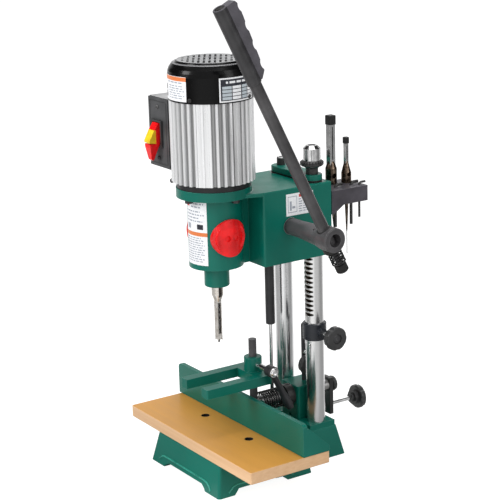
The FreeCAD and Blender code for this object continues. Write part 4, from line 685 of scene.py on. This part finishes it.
# The grip's flat panel is painted lighter: partly its own finish, partly a painted highlight.
repaint("lever_grip", "grip_panel", is_grip_panel)
# A thin ring round the grille is painted lighter: a painted highlight.
repaint("fan_cover", "cowl_line_highlight", is_cowl_lip)

# ---------------------------------------------------------------- building pieces


def piece(name, body, points, faces, looks, which=None, smooth=True):
    """A new mesh in the row frame that rides on a body."""
    mesh = bpy.data.meshes.new(name)
    mesh.from_pydata([tuple(p) for p in points], [], faces)
    for look in looks:
        mesh.materials.append(LOOKS[look].material)
    for index, face in enumerate(mesh.polygons):
        face.use_smooth = smooth
        if which:
            face.material_index = which[index]
    mesh.validate()
    thing = bpy.data.objects.new(name, mesh)
    bpy.context.scene.collection.objects.link(thing)
    if body:
        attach(thing, body)
    return thing


def sweep(path, section, normals, closed=False):
    """A tube of the given section, (side, out) offsets, along a path with known normals."""
    points, faces = [], []
    count, around = len(path), len(section)
    for i, (spot, out) in enumerate(zip(path, normals)):
        ahead = path[(i + 1) % count] if closed or i + 1 < count else spot
        behind = path[i - 1] if closed or i else spot
        along = (ahead - behind).normalized()
        out = (out - along * out.dot(along)).normalized()
        side = along.cross(out)
        points += [spot + side * u + out * v for u, v in section]
    for i in range(count if closed else count - 1):
        for j in range(around):
            a, b = i * around + j, i * around + (j + 1) % around
            c, e = ((i + 1) % count) * around + j, ((i + 1) % count) * around + (j + 1) % around
            faces.append((a, b, e, c))
    if not closed:
        faces.append(tuple(reversed(range(around))))
        faces.append(tuple(range((count - 1) * around, count * around)))
    return points, faces


def round_section(radius, sides=10):
    """A circle as (side, out) offsets."""
    return [(radius * math.cos(2 * math.pi * k / sides), radius * math.sin(2 * math.pi * k / sides))
            for k in range(sides)]


def frame_about(axis):
    """Two directions square to an axis."""
    axis = Vector(axis).normalized()
    first = axis.cross(Vector((1, 0, 0)) if abs(axis.x) < 0.9 else Vector((0, 1, 0))).normalized()
    return first, axis.cross(first)


def coil(start, end, radius, wire, turns, closed_turns=0.8, steps=26):
    """A compression spring between two points, with flat closed turns at both ends."""
    start, end = Vector(start), Vector(end)
    axis = (end - start).normalized()
    first, second = frame_about(axis)
    length = (end - start).length - 2 * wire
    total = turns + 2 * closed_turns
    ends = closed_turns * 2.1 * wire
    pitch = (length - 2 * ends) / turns
    path, normals = [], []
    for i in range(int(total * steps) + 1):
        turn = i / steps
        if turn < closed_turns:
            climb = turn * 2.1 * wire
        elif turn > total - closed_turns:
            climb = length - (total - turn) * 2.1 * wire
        else:
            climb = ends + (turn - closed_turns) * pitch
        angle = 2 * math.pi * turn
        out = first * math.cos(angle) + second * math.sin(angle)
        path.append(start + axis * (wire + climb) + out * radius)
        normals.append(out)
    return sweep(path, round_section(wire), normals)


def lathe(profile, place, axis, sides=48):
    """Turn a closed (radius, height) outline about an axis."""
    place, axis = Vector(place), Vector(axis).normalized()
    first, second = frame_about(axis)
    points, faces = [], []
    for i in range(sides):
        angle = 2 * math.pi * i / sides
        out = first * math.cos(angle) + second * math.sin(angle)
        points += [place + axis * high + out * radius for radius, high in profile]
    rows = len(profile)
    for i in range(sides):
        for j in range(rows):
            after = (i + 1) % sides
            nxt = (j + 1) % rows
            faces.append((i * rows + j, after * rows + j, after * rows + nxt, i * rows + nxt))
    return points, faces


def ring_profile(inner, outer, low, high, bevel):
    """A rectangular section with eased corners, for a washer or a band."""
    return [(inner, low + bevel), (inner + bevel, low), (outer - bevel, low),
            (outer, low + bevel), (outer, high - bevel), (outer - bevel, high),
            (inner + bevel, high), (inner, high - bevel)]


# ---------------------------------------------------------------- springs


def make_springs():
    """The lever's and the fence's coil springs, in place of the model's spring parts, which are
    hidden.
    """
    seat = HUB_CENTRE - LEVER_LEAN * 0.0215
    nut = HUB_CENTRE - LEVER_LEAN * 0.0487
    points, faces = coil(seat, nut, 0.0105, 0.00135, 4.0)
    spring = piece("lever_coil", None, points, faces, ["coil_black"])
    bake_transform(spring)
    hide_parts("lever_spring")
    front = Vector((0, 0.0742, 0.098))
    rear = Vector((0, 0.1218, 0.098))
    points, faces = coil(front, rear, 0.0158, 0.00130, 9)
    spring = piece("fence_coil", None, points, faces, ["coil_black"])
    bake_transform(spring)
    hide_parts("fence_spring")


make_springs()

# ---------------------------------------------------------------- twisted bits


def twisted_bit(name, body, place, radius, low, high, turns, shank_from, looks):
    """An auger: a two-flute section that winds up to a plain round shank."""
    points, faces = [], []
    around, steps = 20, 110
    for i in range(steps + 1):
        z = low + (high - low) * i / steps
        twist = 2 * math.pi * turns * (z - low) / (high - low)
        fluted = min(1.0, max(0.0, (shank_from - z) / 0.004))
        tip = min(1.0, 0.35 + (z - low) / 0.004)
        for j in range(around):
            angle = 2 * math.pi * j / around
            flute = 1 - 0.62 * fluted * (0.5 + 0.5 * math.cos(2 * angle)) ** 1.4
            r = radius * flute * tip
            points.append((place[0] + r * math.cos(angle + twist),
                           place[1] + r * math.sin(angle + twist), z))
    for i in range(steps):
        for j in range(around):
            after = (j + 1) % around
            faces.append((i * around + j, i * around + after, (i + 1) * around + after,
                          (i + 1) * around + j))
    faces.append(tuple(reversed(range(around))))
    faces.append(tuple(range(steps * around, (steps + 1) * around)))
    return piece(name, body, points, faces, looks)


def make_bit():
    """The auger inside the hollow chisel."""
    low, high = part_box("auger_bit")
    bit = twisted_bit("auger_flutes", "spindle", (0, 0), 0.0029, low.z, high.z, 9, 0.300,
                      ["dark_steel"])
    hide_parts("auger_bit")


make_bit()

# ---------------------------------------------------------------- labels


class Sheet:
    """A thin printed label that follows a surface; u runs to its right and v up, 0 to 1."""

    def __init__(self, surface, bend):
        """Bend is how many flat strips the full width is cut into."""
        self.surface = surface
        self.bend = bend
        self.points, self.faces, self.which = [], [], []

    def block(self, left, low, right, high, ink, lift):
        """A rectangle of one ink, raised a little from the surface, with closed edges."""
        steps = max(1, round(self.bend * (right - left)))
        first = len(self.points)
        for i in range(steps + 1):
            u = left + (right - left) * i / steps
            for v in (low, high):
                for height in (0.00002, lift):
                    self.points.append(self.surface(u, v, height))
        for i in range(steps):
            a, b = first + 4 * i, first + 4 * (i + 1)
            self.faces += [(a + 1, b + 1, b + 3, a + 3), (a, a + 2, b + 2, b),
                           (a, b, b + 1, a + 1), (a + 2, a + 3, b + 3, b + 2)]
            self.which += [ink] * 4
        end = first + 4 * steps
        self.faces += [(first, first + 1, first + 3, first + 2),
                       (end, end + 2, end + 3, end + 1)]
        self.which += [ink] * 2

    def lines(self, left, low, right, high, rows, ink, lift, share=0.5, gap=0.035):
        """Rows of short bars that stand for unreadable print."""
        tall = (high - low) / rows
        for row in range(rows):
            base = low + tall * (row + (1 - share) / 2)
            u = left
            limit = right - rng.uniform(0, 0.25) * (right - left)
            while u < limit - 0.02:
                wide = min(rng.uniform(0.05, 0.16), limit - u)
                self.block(u, base, u + wide, base + tall * share, ink, lift)
                u += wide + gap

    def made(self, name, body, looks):
        """The finished label as a piece."""
        return piece(name, body, self.points, self.faces, looks, self.which, smooth=False)


def round_surface(radius, angle_from, angle_to, low, high):
    """A band of a cylinder about the spindle; angles in degrees from the front towards +X."""
    def spot(u, v, lift):
        """The point at a place on the label, lifted off the band."""
        angle = math.radians(angle_from + (angle_to - angle_from) * u)
        reach = radius + lift
        return Vector((reach * math.sin(angle), -reach * math.cos(angle),
                       low + (high - low) * v))
    return spot


def flat_surface(corner, right, up, out):
    """A flat rectangle from its lower left corner."""
    corner, right, up, out = Vector(corner), Vector(right), Vector(up), Vector(out)

    def spot(u, v, lift):
        """The point at a place on the label, lifted off the flat."""
        return corner + right * u + up * v + out * lift
    return spot


COWL_LABEL_RADIUS = 0.0666
HOUSING_LABEL_RADIUS = 0.0435


def make_labels():
    """Generic labels in the places where such a machine carries them: bars, no words."""
    paper, ink, orange, pale, red, cell = range(6)
    inks = ["paper_white", "ink", "orange_ink", "ink_pale", "red_ink", "cell"]
    cowl = Sheet(round_surface(COWL_LABEL_RADIUS, -33, 24, 0.6195, 0.6575), 20)
    cowl.block(0, 0, 1, 1, paper, 0.00016)
    cowl.block(0, 0.82, 1, 0.985, orange, 0.00022)
    cowl.lines(0.30, 0.70, 0.95, 0.80, 1, pale, 0.00022)
    cowl.lines(0.36, 0.08, 0.96, 0.66, 6, pale, 0.00022, 0.42)
    cowl.block(0.06, 0.40, 0.22, 0.62, ink, 0.00022)
    cowl.block(0.06, 0.12, 0.22, 0.34, ink, 0.00022)
    cowl.made("cowl_label", "head", inks)
    housing = Sheet(round_surface(HOUSING_LABEL_RADIUS, -21, 41, 0.3575, 0.4605), 20)
    housing.block(0, 0, 1, 1, paper, 0.00016)
    housing.block(0.06, 0.90, 0.24, 0.96, red, 0.00022)
    housing.lines(0.34, 0.88, 0.92, 0.98, 2, pale, 0.00022, 0.45)
    housing.lines(0.06, 0.66, 0.92, 0.86, 4, pale, 0.00022, 0.4)
    housing.block(0.62, 0.56, 0.86, 0.64, ink, 0.00022)
    housing.block(0.12, 0.56, 0.30, 0.64, pale, 0.00022)
    housing.block(0, 0.455, 1, 0.515, orange, 0.00022)
    housing.lines(0.06, 0.04, 0.95, 0.44, 11, pale, 0.00022, 0.42)
    housing.made("housing_label", "head", inks)
    plate = Sheet(round_surface(COWL_LABEL_RADIUS, 69, 127, 0.6190, 0.6560), 20)
    plate.block(0, 0, 1, 1, paper, 0.00020)
    plate.block(0.035, 0.06, 0.965, 0.94, ink, 0.00026)
    plate.lines(0.16, 0.72, 0.90, 0.90, 1, paper, 0.00032, 0.5)
    for row in range(4):
        base = 0.10 + row * 0.145
        for left, right in ((0.07, 0.30), (0.32, 0.56), (0.59, 0.76), (0.78, 0.94)):
            shade = cell if left in (0.07, 0.59) else paper
            plate.block(left, base, right, base + 0.115, shade, 0.00032)
    plate.made("motor_plate", "head", inks)
    side = Sheet(flat_surface((0.066, 0.0915, 0.4245), (0, 0.052, 0), (0, 0, 0.0355), (1, 0, 0)),
                 1)
    side.block(0, 0, 1, 1, paper, 0.00018)
    side.block(0.06, 0.14, 0.40, 0.88, pale, 0.00022)
    side.block(0.08, 0.17, 0.38, 0.85, paper, 0.00026)
    side.block(0.13, 0.24, 0.20, 0.66, pale, 0.0003)
    side.block(0.22, 0.32, 0.33, 0.42, pale, 0.0003)
    side.block(0.47, 0.80, 0.80, 0.93, red, 0.00024)
    side.lines(0.46, 0.10, 0.96, 0.76, 6, pale, 0.00024, 0.42)
    side.made("side_label", "head", inks)


make_labels()

# ---------------------------------------------------------------- small hardware


def make_hub_black_ring():
    """The black ring where the lever enters the hub, lying on the hub's round side."""
    path, normals = [], []
    ring_radius, steps = 0.0101, 48
    for k in range(steps):
        angle = 2 * math.pi * k / steps
        beside = ring_radius * math.sin(angle)
        rise = math.sqrt(HUB_RADIUS ** 2 - beside ** 2)
        spot = LEVER_LEAN * rise + LEVER_ACROSS * beside
        out = spot.normalized()
        beyond = Vector((ring_radius * math.cos(angle), 0, 0))
        path.append(HUB_CENTRE + beyond + spot - out * 0.0002)
        normals.append(out)
    points, faces = sweep(path, round_section(0.0012, 8), normals, closed=True)
    piece("lever_black_ring", "pinion", points, faces, ["bump_rubber"])


def make_knob_faces():
    """The domed insert in the dish of three hand knobs, and the washer under the strap's."""
    spots = (("stop", "collar_knob", (0.107, RACK_COLUMN_Y, 0.218), (1, 0, 0), 0.0195),
             ("guide", "guide", (0, 0.2835, 0.062), (0, 1, 0), 0.0205),
             ("strap", "stop_bar_clamp", (0.0165, 0.167, 0.1466), (1, 0, 0), 0.0165))
    for name, body, place, axis, rim in spots:
        radius = rim * 0.42 - 0.0006
        insert = [(0.0, -0.0020), (radius, -0.0020), (radius, -0.0014),
                  (radius * 0.94, -0.0010), (radius * 0.5, -0.0007), (0.0, -0.0006)]
        points, faces = lathe(insert, place, axis, 40)
        piece(name + "_knob_insert", body, points, faces, ["knob_insert"])
    washer = ring_profile(0.0042, 0.0088, 0.0, 0.0010, 0.0003)
    points, faces = lathe(washer, (0.0025, 0.167, 0.1466), (1, 0, 0))
    piece("lock_washer", "stop_bar_clamp", points, faces, ["polished"])


def rectangle_line(name, body, corners, out, radius, look, steps=8):
    """A raised round line that runs round a flat rectangle."""
    path, normals = [], []
    for index, corner in enumerate(corners):
        following = corners[(index + 1) % len(corners)]
        for step in range(steps):
            path.append(Vector(corner).lerp(Vector(following), step / steps))
            normals.append(Vector(out))
    points, faces = sweep(path, round_section(radius, 8), normals, closed=True)
    piece(name, body, points, faces, [look])


def make_switch_trim():
    """The raised line round the switch plate."""
    low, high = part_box("switch_plate")
    inset = 0.0052
    left, right = low.x + inset, high.x - inset
    bottom, top = low.z + inset, high.z - inset
    corners = [(left, low.y, bottom), (right, low.y, bottom), (right, low.y, top),
               (left, low.y, top)]
    rectangle_line("plate_border", "head", corners, (0, -1, 0), 0.0006, "border_black")


def make_grip_trim():
    """A near-black disc in the grip's top end, painted shade for its dark socket, with a raised rim
    painted lighter as a painted highlight.
    """
    end = HUB_CENTRE + LEVER_LEAN * 0.409
    socket = [(0.0, -0.0004), (0.0082, -0.0004), (0.0082, 0.0002), (0.0, 0.0002)]
    points, faces = lathe(socket, end, LEVER_LEAN, 40)
    # A near-black disc: painted shade in the end socket.
    piece("grip_end_socket", "lever", points, faces, ["painted_hole_shade"])
    points, faces = lathe(ring_profile(0.0080, 0.0104, -0.0004, 0.0009, 0.0004), end, LEVER_LEAN)
    # The rim is painted lighter: a painted highlight.
    piece("grip_end_rim", "lever", points, faces, ["grip_panel"])


def make_base_trim():
    """The embossed rim over the arches of the base, on its tapered front and right side, painted a
    lighter green as a painted highlight on its ledge.
    """
    slope = math.tan(math.radians(11.5))

    def on_front(x, z):
        """The point and the outward direction on the front face, at a height."""
        return Vector((x, -0.0756 + slope * z, z)), Vector((0, -1, slope)).normalized()

    def on_right(y, z):
        """The same on the right-hand face."""
        return Vector((0.105 - slope * z, y, z)), Vector((1, 0, slope)).normalized()

    front_rim = ((-0.080, 0.0085), (-0.072, 0.0150), (-0.066, 0.0165), (0.056, 0.0165),
                 (0.066, 0.0150), (0.074, 0.0107), (0.080, 0.0040))
    side_rim = ((-0.056, 0.0060), (-0.046, 0.0140), (-0.038, 0.0160), (0.050, 0.0160),
                (0.060, 0.0130), (0.070, 0.0050))
    for name, rim, surface in (("front_rim", front_rim, on_front),
                               ("side_rim", side_rim, on_right)):
        path, normals = [], []
        for index in range(len(rim) - 1):
            for step in range(6):
                share = step / 6
                across = rim[index][0] + (rim[index + 1][0] - rim[index][0]) * share
                rise = rim[index][1] + (rim[index + 1][1] - rim[index][1]) * share
                spot, out = surface(across, rise)
                path.append(spot)
                normals.append(out)
        points, faces = sweep(path, round_section(0.0014, 8), normals)
        piece("base_" + name, "frame", points, faces, ["rim_green_highlight"])


def make_chuck_jaws():
    """Three jaws in the nose of the spare chuck."""
    low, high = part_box("spare_chuck")
    centre = Vector(((low.x + high.x) / 2, (low.y + high.y) / 2, high.z))
    for k in range(3):
        turn = math.radians(120 * k + 20)
        out = Vector((math.cos(turn), math.sin(turn), 0))
        side = Vector((-math.sin(turn), math.cos(turn), 0))
        points = []
        for z, reach in ((-0.0060, 0.0031), (-0.0012, 0.0036), (-0.0004, 0.0046)):
            for u, v in ((0.0008, -0.0007), (0.0008, 0.0007), (reach, 0.0012), (reach, -0.0012)):
                points.append(centre + out * u + side * v + Vector((0, 0, z)))
        faces = [(3, 2, 1, 0), (8, 9, 10, 11)]
        for level in (0, 4):
            for j in range(4):
                after = (j + 1) % 4
                faces.append((level + j, level + after, level + 4 + after, level + 4 + j))
        piece("chuck_jaw_%d" % k, "frame", points, faces, ["dark_steel"],
              smooth=False)


make_hub_black_ring()
make_knob_faces()
make_switch_trim()
make_grip_trim()
make_base_trim()
make_chuck_jaws()

# ---------------------------------------------------------------- floor and lights


def make_floor():
    """A large floor that glows white to the camera, so that only a faint shadow shows on it.

    To all other rays it shows bright and dark cards, which upright metal needs to look like metal.
    """
    look = Look("studio_floor", (0.30, 0.30, 0.30), roughness=0.8, Specular_IOR_Level=0.0)
    split = look.add("SeparateXYZ", Vector=look.place)
    turn = look.math("ARCTAN2", split.outputs["Y"], split.outputs["X"])
    share = look.math("DIVIDE", look.math("ADD", turn, math.pi), 2 * math.pi)
    cards = look.ramp(share, *FLOOR_CARDS)
    shaders = []
    for colour, strength in (((1, 1, 1, 1), FLOOR_GLOW), (cards, CARD_STRENGTH)):
        glow = look.add("Emission", Color=colour, Strength=strength)
        both = look.add("AddShader")
        look.feed(both.inputs[0], look.shader.outputs[0])
        look.feed(both.inputs[1], glow.outputs[0])
        shaders.append(both.outputs[0])
    seen = look.add("MixShader", Fac=look.add("LightPath").outputs["Is Camera Ray"])
    look.feed(seen.inputs[1], shaders[1])
    look.feed(seen.inputs[2], shaders[0])
    look.feed(look.tree.nodes["Material Output"].inputs["Surface"], seen.outputs[0])
    mesh = bpy.data.meshes.new("studio_floor")
    signs = ((-1, -1), (1, -1), (1, 1), (-1, 1))
    corners = [(x * FLOOR_REACH, y * FLOOR_REACH, 0) for x, y in signs]
    mesh.from_pydata(corners, [], [(0, 1, 2, 3)])
    mesh.materials.append(look.material)
    floor = bpy.data.objects.new("studio_floor", mesh)
    floor.location.z = -0.0005
    bpy.context.scene.collection.objects.link(floor)


make_floor()
soft_light("key", (-0.6, -2.4, 1.6), (0, 0.05, 0.36), 0.9, 1.6, 50)
soft_light("side", (2.6, 0.9, 1.3), (0, 0.05, 0.40), 0.9, 1.8, 16)
soft_light("top", (0.1, 0.2, 2.9), (0, 0.05, 0.40), 1.8, 1.8, 40)
soft_light("back", (-1.6, 2.2, 1.6), (0, 0.05, 0.40), 1.2, 1.6, 10)
